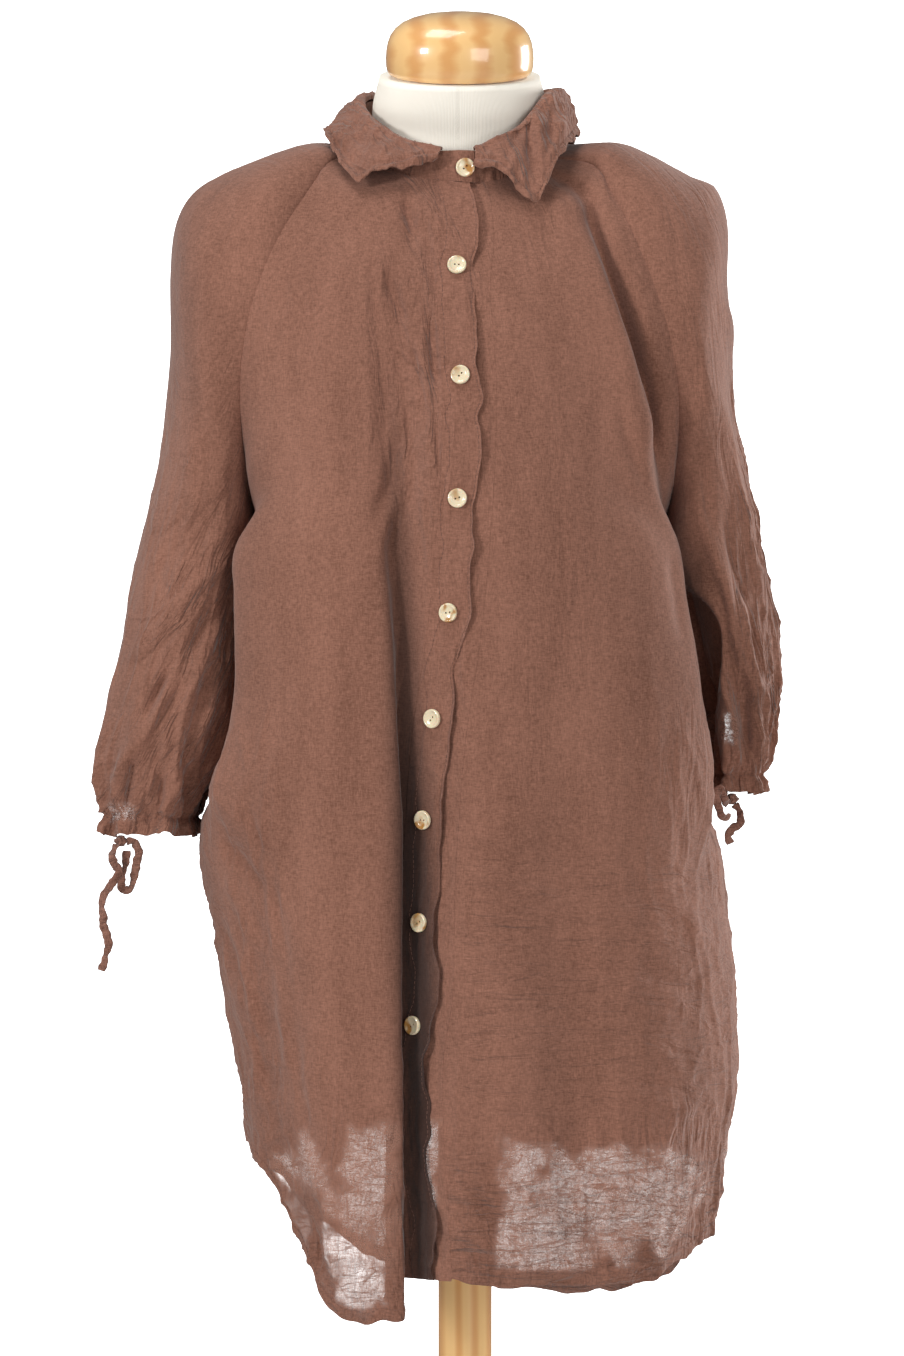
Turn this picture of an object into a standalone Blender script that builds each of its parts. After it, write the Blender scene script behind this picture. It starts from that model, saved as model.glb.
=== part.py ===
"""A loose linen shirt, buttoned up, on a limbless dress form.

Right and left are the wearer's: the wearer's right is at -X, and the front faces -Y. Sizes are
in millimetres and become metres when an object is made. The origin is on the floor, at the
centre of the base.
"""

import math

import bpy
import numpy as np

MM = 0.001

# Cloth
WALL = 1.4  # thickness of each cloth wall
SEAM_GAP = 0.6  # between two pieces that are sewn together
UNDERARM_GAP = 2.2  # between sleeve and body at the point where four seams meet
BAND_WIDTH = 27.0  # each front band
BAND_LIFT = 2.6  # the buttonhole band stands this far off the button band
BAND_FADE = 55.0  # over this width the lift of the band dies out in its front
BAND_COLUMNS = 4
UNDER_REACH = 12.0  # the button band shows this far beyond the other's free edge
NECK_FRONT_Z = 1472.0
NECK_BACK_Z = 1514.0
SQUARENESS = 2.35  # of the body's sections, where 2 is an ellipse
TUCK_DEPTH = 60.0  # a side's tuck ends this far to front and back
TUCK_POWER = 4  # and the higher this is, the sharper the fold that it ends in
UNDER_START = 0.25  # the button band starts this share of the way across the other

# Rows and columns of each piece's grid
YOKE_ROWS = 8  # from the neck seam to the underarm
YOKE_CROWDING = 1.3  # these rows stand closer towards the neck
SKIRT_ROWS = 13  # from the underarm to the hem
SLEEVE_ROWS = 8  # from the underarm to the cuff
FRONT_COLUMNS = 18
FRONT_CROWDING = 1.45  # columns stand closer towards the band on the right front
BACK_COLUMNS = 21
SLEEVE_COLUMNS = 33
SLEEVE_GATHERS = 8

# Points along each row before it is thinned to its columns
FRONT_SAMPLES = 70
BACK_SAMPLES = 110
SLEEVE_SAMPLES = 160

# Sections of the body, neck to hem: reach to the wearer's right, left, front and back, and how
# far the cloth is pushed in at each side to leave room for the sleeve
BODY_COLUMNS = ("z", "right", "left", "front", "back", "tuck_right", "tuck_left")
BODY = (
    (1515, 104, 98, 74, 70, 0, 0),
    (1480, 178, 166, 83, 84, 0, 0),
    (1440, 204, 192, 98, 98, 0, 0),
    (1390, 200, 184, 117, 108, 0, 0),
    (1340, 186, 168, 128, 112, 0, 0),
    (1290, 176, 162, 136, 113, 4, 4),
    (1240, 180, 166, 141, 113, 23, 13),
    (1205, 192, 178, 143, 113, 41, 32),
    (1165, 194, 185, 144, 113, 48, 37),
    (1120, 192, 193, 144, 115, 40, 36),
    (1067, 197, 200, 144, 118, 34, 30),
    (1038, 208, 205, 144, 120, 30, 30),
    (1012, 212, 203, 144, 122, 20, 24),
    (985, 199, 190, 144, 123, 0, 0),
    (940, 192, 195, 144, 126, 0, 0),
    (870, 181, 203, 145, 131, 0, 0),
    (800, 167, 204, 147, 136, 0, 0),
    (740, 158, 193, 149, 139, 0, 0),
    (690, 146, 186, 150, 140, 0, 0),
    (620, 132, 178, 150, 140, 0, 0),
)

# The raglan seams, neck to underarm: both run down at x and z, in front and at the back, and the
# sleeve between them reaches up and out to its crest
RAGLAN_COLUMNS = ("x", "z", "front_y", "back_y", "crest_x", "crest_z", "crest_y", "depth")
RAGLAN_RIGHT = (
    (86, 1505, -40, 36, 94, 1511, -4, 38),
    (112, 1472, -67, 64, 140, 1500, -2, 66),
    (138, 1430, -83, 82, 182, 1483, 0, 83),
    (156, 1385, -88, 92, 207, 1466, 2, 90),
    (164, 1345, -83, 90, 218, 1438, 4, 90),
    (166, 1300, -70, 76, 221, 1396, 5, 85),
    (160, 1250, -46, 52, 221, 1342, 5, 80),
    (151, 1205, -0.2, 0.2, 228, 1280, 5, 74),
)
RAGLAN_LEFT = (
    (84, 1500, -40, 36, 92, 1513, -4, 38),
    (106, 1470, -66, 64, 134, 1500, -2, 66),
    (128, 1424, -83, 84, 169, 1482, 0, 84),
    (146, 1375, -88, 94, 190, 1470, 2, 91),
    (155, 1335, -82, 90, 197, 1438, 4, 90),
    (158, 1292, -68, 76, 197, 1390, 6, 84),
    (154, 1246, -44, 52, 201, 1330, 8, 78),
    (146, 1205, -0.2, 0.2, 209, 1272, 10, 72),
)

# The sleeves below the underarm: the inner and the outer edge of each section, half its depth
# from front to back, where its middle lies, and how deep the gathers are
SLEEVE_TABLE = ("inner_x", "inner_z", "outer_x", "outer_z", "middle_y", "depth", "gather")
SLEEVE_RIGHT = (
    (157, 1172, 239, 1228, 4, 70, 0.0),
    (160, 1130, 250, 1180, 2, 66, 0.0),
    (165, 1092, 258, 1132, 0, 62, 0.6),
    (176, 1058, 268, 1088, -2, 57, 1.6),
    (189, 1032, 276, 1050, -3, 51, 2.6),
    (199, 1012, 276, 1020, -4, 44, 3.4),
    (203, 1000, 270, 1003, -4, 37, 3.6),
    (201, 989, 274, 990, -4, 40, 4.2),
)
SLEEVE_LEFT = (
    (155, 1174, 219, 1216, 10, 68, 0.0),
    (163, 1140, 230, 1170, 10, 64, 0.0),
    (170, 1108, 237, 1124, 10, 60, 0.6),
    (178, 1082, 236, 1094, 9, 55, 1.4),
    (183, 1060, 232, 1068, 8, 49, 2.4),
    (186, 1042, 227, 1048, 7, 42, 3.2),
    (188, 1031, 222, 1034, 6, 35, 3.4),
    (186, 1020, 225, 1021, 6, 38, 4.0),
)

# Where the buttonhole band's free edge runs
CLOSING_COLUMNS = ("z", "x")
CLOSING = (
    (1480, 3),
    (1430, 9),
    (1390, 6),
    (1338, 10),
    (1255, 9),
    (1195, 5),
    (1128, -2),
    (1060, -12),
    (993, -17),
    (940, -20),
    (876, -21),
    (828, -28),
    (786, -28),
    (709, -23),
    (640, -22),
)

# The hem's height along each piece, 0 at the closing or the right side, 1 at the other side
HEM_COLUMNS = ("along", "z")
HEM_RIGHT = (
    (0, 668), (0.12, 650), (0.24, 639), (0.34, 635), (0.4, 647), (0.48, 678), (0.62, 722), (0.8, 748),
    (1, 765),
)
HEM_LEFT = ((0, 668), (0.25, 665), (0.5, 668), (0.64, 677), (0.8, 694), (1, 706))
HEM_BACK = (
    (0, 765), (0.12, 738), (0.22, 700), (0.42, 648), (0.6, 634), (0.72, 636), (0.86, 668), (1, 706),
)

# Folds, each along a line seen from the front: a ridge where the height is positive, a valley
# where it is negative. The two widths are to the wearer's right and left of the line, lean moves
# the crest on the wearer's right over the valley, and past each end the fold dies out over its
# fade, or goes on in the next row where that is 0.
FOLD_COLUMNS = (
    "x_top", "z_top", "x_bottom", "z_bottom", "width_right", "width_left",
    "height_top", "height_bottom", "lean_top", "lean_bottom", "fade_top", "fade_bottom",
)
FRONT_FOLDS = (
    (-61, 1370, -55, 1240, 13, 24, -5, -14, 1, 8, 40, 0),
    (-55, 1240, -52, 1120, 13, 30, -14, -25, 8, 16, 0, 0),
    (-52, 1120, -56, 1000, 13, 36, -25, -33, 16, 28, 0, 0),
    (-56, 1000, -64, 850, 13, 42, -33, -38, 28, 36, 0, 0),
    (-64, 850, -63, 600, 13, 48, -38, -40, 36, 37, 0, 0),
    (-40, 1440, -18, 1310, 8, 8, -3, -4, 0, 0, 30, 40),
    (-52, 1400, -36, 1240, 8, 9, -3, -5, 0, 0, 30, 40),
    (85, 1462, 108, 1385, 10, 11, -11, -22, 6, 15, 22, 0),
    (108, 1385, 131, 1300, 10, 13, -22, -26, 15, 19, 0, 0),
    (131, 1300, 148, 1225, 10, 12, -26, -4, 19, 5, 0, 30),
    (30, 1330, 26, 700, 40, 40, 2, 7, 0, 0, 60, 60),
    (120, 1150, 150, 720, 45, 30, 0, 8, 0, 0, 60, 60),
    (70, 1000, 84, 700, 24, 24, -3, -8, 0, 0, 60, 60),
    (-150, 930, -128, 700, 12, 14, -6, -12, 0, 0, 60, 60),
    (-172, 980, -150, 830, 9, 10, -5, -8, 0, 0, 30, 60),
    (-96, 900, -84, 640, 22, 22, 3, 9, 0, 0, 60, 60),
)
BACK_FOLDS = (
    (-70, 1400, -92, 640, 20, 26, -3, -24, 0, 0, 60, 60),
    (-20, 1330, -26, 640, 22, 22, 2, 17, 0, 0, 60, 60),
    (34, 1380, 44, 640, 20, 22, -3, -22, 0, 0, 60, 60),
    (92, 1300, 108, 640, 22, 24, 2, 18, 0, 0, 60, 60),
    (-130, 1200, -142, 700, 18, 18, 0, 12, 0, 0, 60, 60),
    (140, 1180, 160, 700, 16, 16, 0, -12, 0, 0, 60, 60),
)

SEAM_HOLD = 0.08  # folds die out over this share of a piece's width at its seams
FOLD_FACING = 60.0  # folds reach full height this far in front of or behind the middle
LEAN_AWAY = 1.5  # the crest that leans lies this many widths from its valley
LEAN_WIDTH = 1.1  # and is this many widths wide

# Neck seam and collar
NECK_CENTRE = (-4.0, -6.0)
STAND_COLUMNS = ("angle", "radius", "z_low", "z_high")
STAND = (
    (-12, 76, 1472, 1494),
    (15, 76, 1473, 1497),
    (35, 76, 1480, 1508),
    (60, 75, 1493, 1534),
    (90, 74, 1506, 1542),
    (135, 72, 1512, 1544),
    (180, 72, 1514, 1547),
    (225, 73, 1512, 1544),
    (270, 75, 1506, 1535),
    (300, 77, 1493, 1517),
    (330, 77, 1478, 1498),
    (368, 79, 1472, 1495),
)
RAGLAN_FRONT_ANGLE = 62.0  # where the raglan seams meet the neck seam, from the front
RAGLAN_BACK_ANGLE = 118.0
NECK_SEAM_DROP = 0.9
STAND_LEAN = 4.0  # the stand leans in by this much from its seam to its top
STAND_COLUMNS_AROUND = 28
FALL_COLUMNS = ("angle", "edge_x", "edge_y", "edge_z")
FALL = (
    (8, 6, -89, 1487),
    (20, 24, -96, 1481),
    (30, 36, -101, 1470),
    (40, 50, -100, 1456),
    (54, 67, -84, 1487),
    (72, 80, -48, 1506),
    (95, 83, -8, 1514),
    (130, 74, 52, 1506),
    (180, -4, 88, 1499),
    (230, -84, 52, 1505),
    (265, -103, -8, 1515),
    (288, -101, -50, 1504),
    (306, -83, -85, 1475),
    (322, -60, -93, 1479),
    (338, -36, -94, 1485),
    (350, -21, -88, 1492),
)
FALL_ROLL = 4.5  # how far the fold of the collar rises over the stand
FALL_TOP_GAP = 1.6
FALL_BELLY = 2.5
# The roll from the stand's top: millimetres outwards, and share of the roll's rise
FALL_ROLL_PATH = ((0, 0), (0.6, 0.75), (3.2, 1), (6.8, 0.95), (9.5, 0.3))
FALL_COLUMNS_AROUND = 33
FALL_ROWS = 3  # from the roll to the outer edge

# Buttons
BUTTON_RADIUS = 7.0
BUTTON_THICKNESS = 2.8
BUTTON_STANDOFF = 0.5
BUTTON_SIDES = 10
BUTTON_ANGLE = 363.0  # the first button's place on the collar stand
# From the back's middle to the front's: how far in from the edge, and the height above the back
BUTTON_PROFILE = ((7, 0), (0.8, 0), (0, 0.8), (0, 2.1), (0.9, 2.8), (2.1, 2.2), (7, 1.9))
BUTTON_HEIGHTS = (1482, 1408, 1327, 1237, 1154, 1077, 1003, 928, 853)

# Drawstrings at the cuffs
TIE_RADIUS = 1.6
TIE_RIGHT_LOOP = (
    (-251.6, -38.6, 985.2), (-247, -38, 985), (-243, -37, 978), (-245, -37, 966), (-247, -37, 955),
    (-250, -37, 949), (-254, -37, 949), (-256, -37, 954), (-254, -37, 963), (-252, -37, 972),
    (-252, -38, 978),
)
TIE_RIGHT_END = (
    (-259.1, -40.3, 982.8), (-262, -44, 976), (-261, -45, 969), (-257, -45, 964), (-260, -45, 957),
    (-266, -44, 949), (-270, -43, 940), (-269, -43, 930), (-268, -43, 920), (-265, -43, 912),
    (-267, -43, 900), (-270, -43, 889),
)
TIE_LEFT_LOOP = (
    (196.0, -31.0, 1013.1), (194, -38, 1014), (191, -43, 1021), (188, -45, 1025), (187, -45, 1017),
    (189, -43, 1008), (192, -40, 1003), (197, -36, 1003),
)
TIE_LEFT_END = (
    (200.8, -28.4, 1012.4), (205, -28, 1006), (204, -28, 997), (199, -28, 994), (196, -28, 989),
    (198, -28, 983),
)
KNOT_RADIUS = 4.0
KNOT_RINGS = 6
KNOT_SIDES = 10
TIE_RIGHT_KNOT = (-256, -38.5, 985.4)
TIE_LEFT_KNOT = (199, -28, 1016.4)

# Dress form
FORM_COLUMNS = ("z", "half_width", "front", "back", "centre_y")
FORM = (
    (780, 141, 79, 93, 2),
    (784, 151, 87, 103, 2),
    (795, 156, 92, 108, 2),
    (860, 157, 93, 112, 0),
    (950, 144, 88, 100, 0),
    (1040, 122, 82, 84, 0),
    (1130, 124, 92, 86, 0),
    (1200, 131, 108, 90, 0),
    (1260, 138, 114, 94, 0),
    (1330, 146, 106, 98, 0),
    (1390, 162, 92, 94, 0),
    (1430, 176, 78, 84, 0),
    (1450, 180, 68, 74, 0),
    (1466, 170, 60, 64, 0),
    (1478, 132, 56, 58, 0),
    (1488, 96, 54, 56, -2),
    (1500, 71, 54, 54, -4),
    (1515, 66, 53, 53, -6),
    (1535, 65, 53, 53, -12),
    (1556, 60, 53, 53, -18),
)
FORM_COLUMNS_AROUND = 24
NECK_TILT = 14.0  # degrees forward, for the top of the neck and the cap
NECK_TILT_FROM = 1480.0
CAP_CENTRE = (-4.0, -24.0, 1555.0)
CAP_PROFILE = ((0, 0), (44, 0), (52, 1.5), (55, 8), (55, 20), (52, 31), (42, 41), (26, 46), (0, 48))
CAP_DEPTH = 0.86  # the cap is an oval, this much as deep as it is wide
POLE_RADIUS = 20.0
BASE_RADIUS = 190.0
BASE_THICKNESS = 25.0
BASE_ROUNDING = 5.0
REST_GAP = 0.3  # where the pole meets the torso and the base
FORM_SQUARENESS = 2.2
CAP_SIDES = 28
POLE_SIDES = 32
BASE_SIDES = 40
FORM_BOTTOM = 780.0


def column(rows, names, name, at, key=None):
    """Reads a named column at any height or angle, along a smooth curve through the rows."""
    keys = np.array([row[names.index(key or names[0])] for row in rows], float)
    values = np.array([row[names.index(name)] for row in rows], float)
    order = np.argsort(keys)
    keys, values = keys[order], values[order]
    slopes = np.gradient(values, keys)
    at = np.clip(np.asarray(at, float), keys[0], keys[-1])
    low = np.clip(np.searchsorted(keys, at) - 1, 0, len(keys) - 2)
    span = keys[low + 1] - keys[low]
    t = (at - keys[low]) / span
    return (
        (1 + 2 * t) * (1 - t) ** 2 * values[low]
        + t * (1 - t) ** 2 * span * slopes[low]
        + t * t * (3 - 2 * t) * values[low + 1]
        + t * t * (t - 1) * span * slopes[low + 1]
    )


def by_row(rows, names, name, at):
    """Reads a named column at a fraction of the way down the table."""
    numbered = [(place, *row) for place, row in enumerate(rows)]
    return column(numbered, ("row", *names), name, np.asarray(at) * (len(rows) - 1))


def smoothstep(t):
    t = np.clip(t, 0, 1)
    return t * t * (3 - 2 * t)


def closing_x(z):
    return column(CLOSING, CLOSING_COLUMNS, "x", z)


def section_point(z, angle):
    """A point of the body's unfolded section: angle 0 is in front, 90 degrees at the left side."""
    side = np.where(
        np.sin(angle) > 0,
        column(BODY, BODY_COLUMNS, "left", z),
        column(BODY, BODY_COLUMNS, "right", z),
    )
    tuck = np.where(
        np.sin(angle) > 0,
        column(BODY, BODY_COLUMNS, "tuck_left", z),
        column(BODY, BODY_COLUMNS, "tuck_right", z),
    )
    reach = np.where(
        np.cos(angle) > 0,
        column(BODY, BODY_COLUMNS, "front", z),
        column(BODY, BODY_COLUMNS, "back", z),
    )
    power = 2 / SQUARENESS
    x = side * np.sign(np.sin(angle)) * np.abs(np.sin(angle)) ** power
    y = -reach * np.sign(np.cos(angle)) * np.abs(np.cos(angle)) ** power
    x = x - np.sign(x) * tuck * np.exp(-((y / TUCK_DEPTH) ** TUCK_POWER))
    return np.stack([x, y, z], axis=-1)


def section_angle(x, y, z):
    """The angle of the section at which it passes nearest to x, y."""
    side = column(BODY, BODY_COLUMNS, "left" if x > 0 else "right", z)
    reach = column(BODY, BODY_COLUMNS, "front" if y < 0 else "back", z)
    power = SQUARENESS / 2
    across = (abs(x) / side) ** power
    along = (abs(y) / reach) ** power
    angle = math.atan2(across, along)
    if y > 0:
        angle = math.pi - angle
    return math.copysign(angle, x)


def closing_angle(x, z):
    side = column(BODY, BODY_COLUMNS, "left" if x > 0 else "right", z)
    return math.copysign(math.asin(min(1.0, abs(x) / side) ** (SQUARENESS / 2)), x)


def even_row(points, count, crowding=1.0):
    """The row again with its points evenly spaced along it, or crowded towards its start."""
    steps = np.linalg.norm(np.diff(points, axis=0), axis=1)
    along = np.concatenate([[0], np.cumsum(steps)])
    at = along[-1] * np.linspace(0, 1, count) ** crowding
    return np.stack([np.interp(at, along, points[:, axis]) for axis in range(3)], axis=1)


def folded(points, folds, facing):
    """Pushes the points out into ridges and in to valleys, on the side that faces that way."""
    x, z = points[..., 0].copy(), points[..., 2].copy()
    turned = np.clip(facing * points[..., 1] / FOLD_FACING, 0, 1)
    out = np.zeros_like(x)
    sideways = np.zeros_like(x)
    for row in folds:
        fold = dict(zip(FOLD_COLUMNS, row))
        t = (fold["z_top"] - z) / (fold["z_top"] - fold["z_bottom"])
        within = np.clip(t, 0, 1)
        line = fold["x_top"] + (fold["x_bottom"] - fold["x_top"]) * within
        height = fold["height_top"] + (fold["height_bottom"] - fold["height_top"]) * within
        lean = fold["lean_top"] + (fold["lean_bottom"] - fold["lean_top"]) * within
        above = (z - fold["z_top"]) / max(fold["fade_top"], 1e-6)
        below = (fold["z_bottom"] - z) / max(fold["fade_bottom"], 1e-6)
        strength = 1 - smoothstep(np.maximum(above, below))
        away = x - line
        width = np.where(away < 0, fold["width_right"], fold["width_left"])
        out += strength * height * np.exp(-((away / width) ** 2))
        crest = (away / fold["width_right"] + LEAN_AWAY) / LEAN_WIDTH
        sideways += strength * lean * np.exp(-(crest**2))
    moved = points.copy()
    moved[..., 1] += facing * out * turned
    moved[..., 0] += sideways * turned
    return moved


def raglan(side, at):
    """The seam points in front and at the back, the crest and half the depth, down the seam."""
    rows = RAGLAN_LEFT if side > 0 else RAGLAN_RIGHT
    got = {name: by_row(rows, RAGLAN_COLUMNS, name, at) for name in RAGLAN_COLUMNS}
    x = side * got["x"]
    front = np.array([x, got["front_y"], got["z"]])
    back = np.array([x, got["back_y"], got["z"]])
    crest = np.array([side * got["crest_x"], got["crest_y"], got["crest_z"]])
    return front, back, crest, got["depth"]


def hem_z(table, along):
    return column(table, HEM_COLUMNS, "z", along)


def ring_point(angle, radius, z):
    """A point round the neck, where angle 0 is in front and 90 degrees is at the left side."""
    turn = math.radians(angle)
    x = NECK_CENTRE[0] + radius * math.sin(turn)
    y = NECK_CENTRE[1] - radius * math.cos(turn)
    return np.array([x, y, z])


def neck_row(first, last, count):
    """Points along the neck seam, just under the collar stand, between two angles."""
    row = []
    for angle in np.linspace(first, last, count):
        place = angle % 360 if angle < STAND[0][0] else angle
        radius = column(STAND, STAND_COLUMNS, "radius", place)
        low = column(STAND, STAND_COLUMNS, "z_low", place)
        row.append(ring_point(angle, radius, low - NECK_SEAM_DROP))
    return np.array(row)


def neck_angle(x):
    return math.degrees(math.asin((x - NECK_CENTRE[0]) / STAND[0][1]))


def yoke_share(row):
    """How far down the raglan seam a row starts, from 0 at the neck to 1 at the underarm."""
    return (row / YOKE_ROWS) ** YOKE_CROWDING


def row_heights(start, seam, along):
    """Heights along a row above the underarm, from the closing or the middle to the seam."""
    return start + (seam - start) * along**2


def front_grid(side):
    """The middle surface of a front, by rows from neck to hem and columns from band to side."""
    hem = HEM_LEFT if side > 0 else HEM_RIGHT
    fine = np.linspace(0, 1, FRONT_SAMPLES)
    rows = []
    underarm_z = raglan(side, 1.0)[0][2]
    for row in range(YOKE_ROWS + SKIRT_ROWS + 1):
        if row <= YOKE_ROWS:
            down = yoke_share(row)
            seam = raglan(side, down)[0]
            start_z = NECK_FRONT_Z + (underarm_z - NECK_FRONT_Z) * down
            heights = row_heights(start_z, seam[2], fine)
        else:
            down = (row - YOKE_ROWS) / SKIRT_ROWS
            heights = underarm_z + (hem_z(hem, fine) - underarm_z) * down
            seam = None
        start = closing_x(heights[0])
        start += UNDER_REACH if side > 0 else -BAND_WIDTH
        first = closing_angle(start, heights[0])
        last = side * math.pi / 2
        if seam is not None:
            last = section_angle(seam[0], seam[1], seam[2])
        points = section_point(heights, first + (last - first) * fine)
        if seam is not None:
            if row == YOKE_ROWS:
                seam = seam - (side * UNDERARM_GAP / 2, 0, 0)
            points = points + (seam - points[-1]) * (fine**3)[:, None]
        points = even_row(points, FRONT_SAMPLES)
        if row == 0:
            points = neck_row(neck_angle(start), side * RAGLAN_FRONT_ANGLE, FRONT_SAMPLES)
        if side < 0:
            away = np.abs(points[:, 0] - points[0, 0])
            points[:, 1] -= BAND_LIFT * (1 - smoothstep(away / BAND_FADE))
        rows.append(points)
    plain = np.array(rows)
    hold = smoothstep((1 - fine) / SEAM_HOLD)[None, :, None]
    grid = plain + (folded(plain, FRONT_FOLDS, -1) - plain) * hold
    crowding = 1.0 if side > 0 else FRONT_CROWDING
    return np.array([even_row(row, FRONT_COLUMNS, crowding) for row in grid])


def back_grid():
    """The middle surface of the back, by rows from neck to hem and columns from right to left."""
    fine = np.linspace(0, 1, BACK_SAMPLES)
    centred = np.abs(2 * fine - 1)
    rows = []
    underarm_z = raglan(1, 1.0)[1][2]
    for row in range(YOKE_ROWS + SKIRT_ROWS + 1):
        if row <= YOKE_ROWS:
            down = yoke_share(row)
            right, left = raglan(-1, down)[1], raglan(1, down)[1]
            if row == YOKE_ROWS:
                right = right + (UNDERARM_GAP / 2, 0, 0)
                left = left - (UNDERARM_GAP / 2, 0, 0)
            middle_z = NECK_BACK_Z + (underarm_z - NECK_BACK_Z) * down
            seam_z = right[2] + (left[2] - right[2]) * fine
            heights = row_heights(middle_z, seam_z, centred)
            first = section_angle(*right)
            last = section_angle(*left)
        else:
            down = (row - YOKE_ROWS) / SKIRT_ROWS
            heights = underarm_z + (hem_z(HEM_BACK, fine) - underarm_z) * down
            right = left = None
            first, last = -math.pi / 2, math.pi / 2
        # Round the back, from the right side to the left.
        turn = first - (2 * math.pi - (last - first)) * fine
        points = section_point(heights, turn)
        if right is not None:
            points = points + (right - points[0]) * ((1 - fine) ** 3)[:, None]
            points = points + (left - points[-1]) * (fine**3)[:, None]
        if row == 0:
            points = neck_row(360 - RAGLAN_BACK_ANGLE, RAGLAN_BACK_ANGLE, BACK_SAMPLES)
        rows.append(even_row(points, BACK_SAMPLES))
    plain = np.array(rows)
    from_seam = (1 - centred) / 2
    hold = smoothstep(from_seam / SEAM_HOLD)[None, :, None]
    grid = plain + (folded(plain, BACK_FOLDS, 1) - plain) * hold
    return np.array([even_row(row, BACK_COLUMNS) for row in grid])


def sleeve_grid(side):
    """The middle surface of a sleeve, by rows from neck to cuff and columns from front to back."""
    fine = np.linspace(-1, 1, SLEEVE_SAMPLES)
    table = SLEEVE_LEFT if side > 0 else SLEEVE_RIGHT
    rows = []
    gathers = []
    for row in range(YOKE_ROWS + SLEEVE_ROWS + 1):
        if row <= YOKE_ROWS:
            front, back, crest, depth = raglan(side, yoke_share(row))
            gather = 0.0
            if row == YOKE_ROWS:
                front = front + (side * UNDERARM_GAP / 2, 0, 0)
                back = back + (side * UNDERARM_GAP / 2, 0, 0)
        else:
            at = (row - YOKE_ROWS - 1) / (SLEEVE_ROWS - 1)
            got = {name: by_row(table, SLEEVE_TABLE, name, at) for name in SLEEVE_TABLE}
            half_gap = SEAM_GAP / 2
            inner = np.array([side * got["inner_x"], got["middle_y"], got["inner_z"]])
            front = inner - (0, half_gap, 0)
            back = inner + (0, half_gap, 0)
            crest = np.array([side * got["outer_x"], got["middle_y"], got["outer_z"]])
            depth, gather = got["depth"], got["gather"]
        half = (back - front) / 2
        middle = (back + front) / 2
        reach = min(1.0, np.linalg.norm(half) / depth)
        span = math.pi - math.asin(reach)
        out = (crest - middle) / (1 - math.cos(span))
        centre = crest - out
        across = half / math.sin(span) if reach < 1 else half
        angles = span * fine
        points = centre + np.outer(np.cos(angles), out) + np.outer(np.sin(angles), across)
        if row == 0:
            points = neck_row(side * RAGLAN_FRONT_ANGLE, side * RAGLAN_BACK_ANGLE, SLEEVE_SAMPLES)
        rows.append(even_row(points, SLEEVE_COLUMNS))
        gathers.append(gather)
    grid = np.array(rows)
    ripple = np.cos(np.linspace(0, 2 * math.pi * SLEEVE_GATHERS, SLEEVE_COLUMNS))
    depth = np.array(gathers)[:, None] * ripple[None, :]
    return grid + normals_of(grid) * depth[..., None] * side


def normals_of(grid):
    """Unit normals of a grid of points, by rows and columns."""
    down = np.gradient(grid, axis=0)
    along = np.gradient(grid, axis=1)
    normals = np.cross(along, down)
    return normals / np.linalg.norm(normals, axis=-1, keepdims=True)


def trimmed(grid, edges):
    """Draws the named edges back by half a seam gap, square to the seam."""
    grid = grid.copy()
    pairs = {
        "first_column": ((slice(None), 0), (slice(None), 1)),
        "last_column": ((slice(None), -1), (slice(None), -2)),
        "first_row": (0, 1),
    }
    for edge in edges:
        end, inside = pairs[edge]
        seam = np.gradient(grid[end], axis=0)
        seam = seam / np.linalg.norm(seam, axis=-1, keepdims=True)
        step = grid[inside] - grid[end]
        step = step - (step * seam).sum(axis=-1, keepdims=True) * seam
        length = np.linalg.norm(step, axis=-1, keepdims=True)
        grid[end] = grid[end] + step / length * (SEAM_GAP / 2)
    return grid


def new_material(name, colour, roughness, metallic=0.0):
    material = bpy.data.materials.new(name)
    material.use_nodes = True
    shader = material.node_tree.nodes["Principled BSDF"]
    shader.inputs["Base Color"].default_value = (*colour, 1.0)
    shader.inputs["Roughness"].default_value = roughness
    shader.inputs["Metallic"].default_value = metallic
    return material


def new_object(name, points, faces, material, smooth=True):
    mesh = bpy.data.meshes.new(name)
    mesh.from_pydata([tuple(point * MM) for point in np.asarray(points, float)], [], faces)
    mesh.update()
    if smooth:
        mesh.shade_smooth()
        mesh.set_sharp_from_angle(angle=math.radians(50))
    mesh.materials.append(material)
    made = bpy.data.objects.new(name, mesh)
    bpy.context.scene.collection.objects.link(made)
    return made


def cloth_wall(name, grid, normals, material, thickness=WALL, closed=False):
    """A closed wall round a grid of middle points, whose normals point to the outer side."""
    rows, columns = grid.shape[:2]
    outer = (grid + normals * thickness / 2).reshape(-1, 3)
    inner = (grid - normals * thickness / 2).reshape(-1, 3)
    inside = rows * columns
    faces = []
    last = columns if closed else columns - 1

    def at(row, col):
        return row * columns + col % columns

    for row in range(rows - 1):
        for col in range(last):
            a, b = at(row, col), at(row, col + 1)
            c, d = at(row + 1, col + 1), at(row + 1, col)
            faces.append((a, b, c, d))
            faces.append((inside + a, inside + d, inside + c, inside + b))
    for col in range(last):
        top, bottom = at(0, col), at(rows - 1, col)
        top_next, bottom_next = at(0, col + 1), at(rows - 1, col + 1)
        faces.append((top_next, top, inside + top, inside + top_next))
        faces.append((bottom, bottom_next, inside + bottom_next, inside + bottom))
    if not closed:
        for row in range(rows - 1):
            first, first_next = at(row, 0), at(row + 1, 0)
            end, end_next = at(row, columns - 1), at(row + 1, columns - 1)
            # Both seams are split from the outer upper corner, so that sewn edges run alike.
            faces.append((first, first_next, inside + first_next))
            faces.append((first, inside + first_next, inside + first))
            faces.append((end, inside + end, inside + end_next))
            faces.append((end, inside + end_next, end_next))
    if (normals_of(grid) * normals).sum() < 0:
        faces = [tuple(reversed(face)) for face in faces]
    return new_object(name, np.concatenate([outer, inner]), faces, material)


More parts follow.
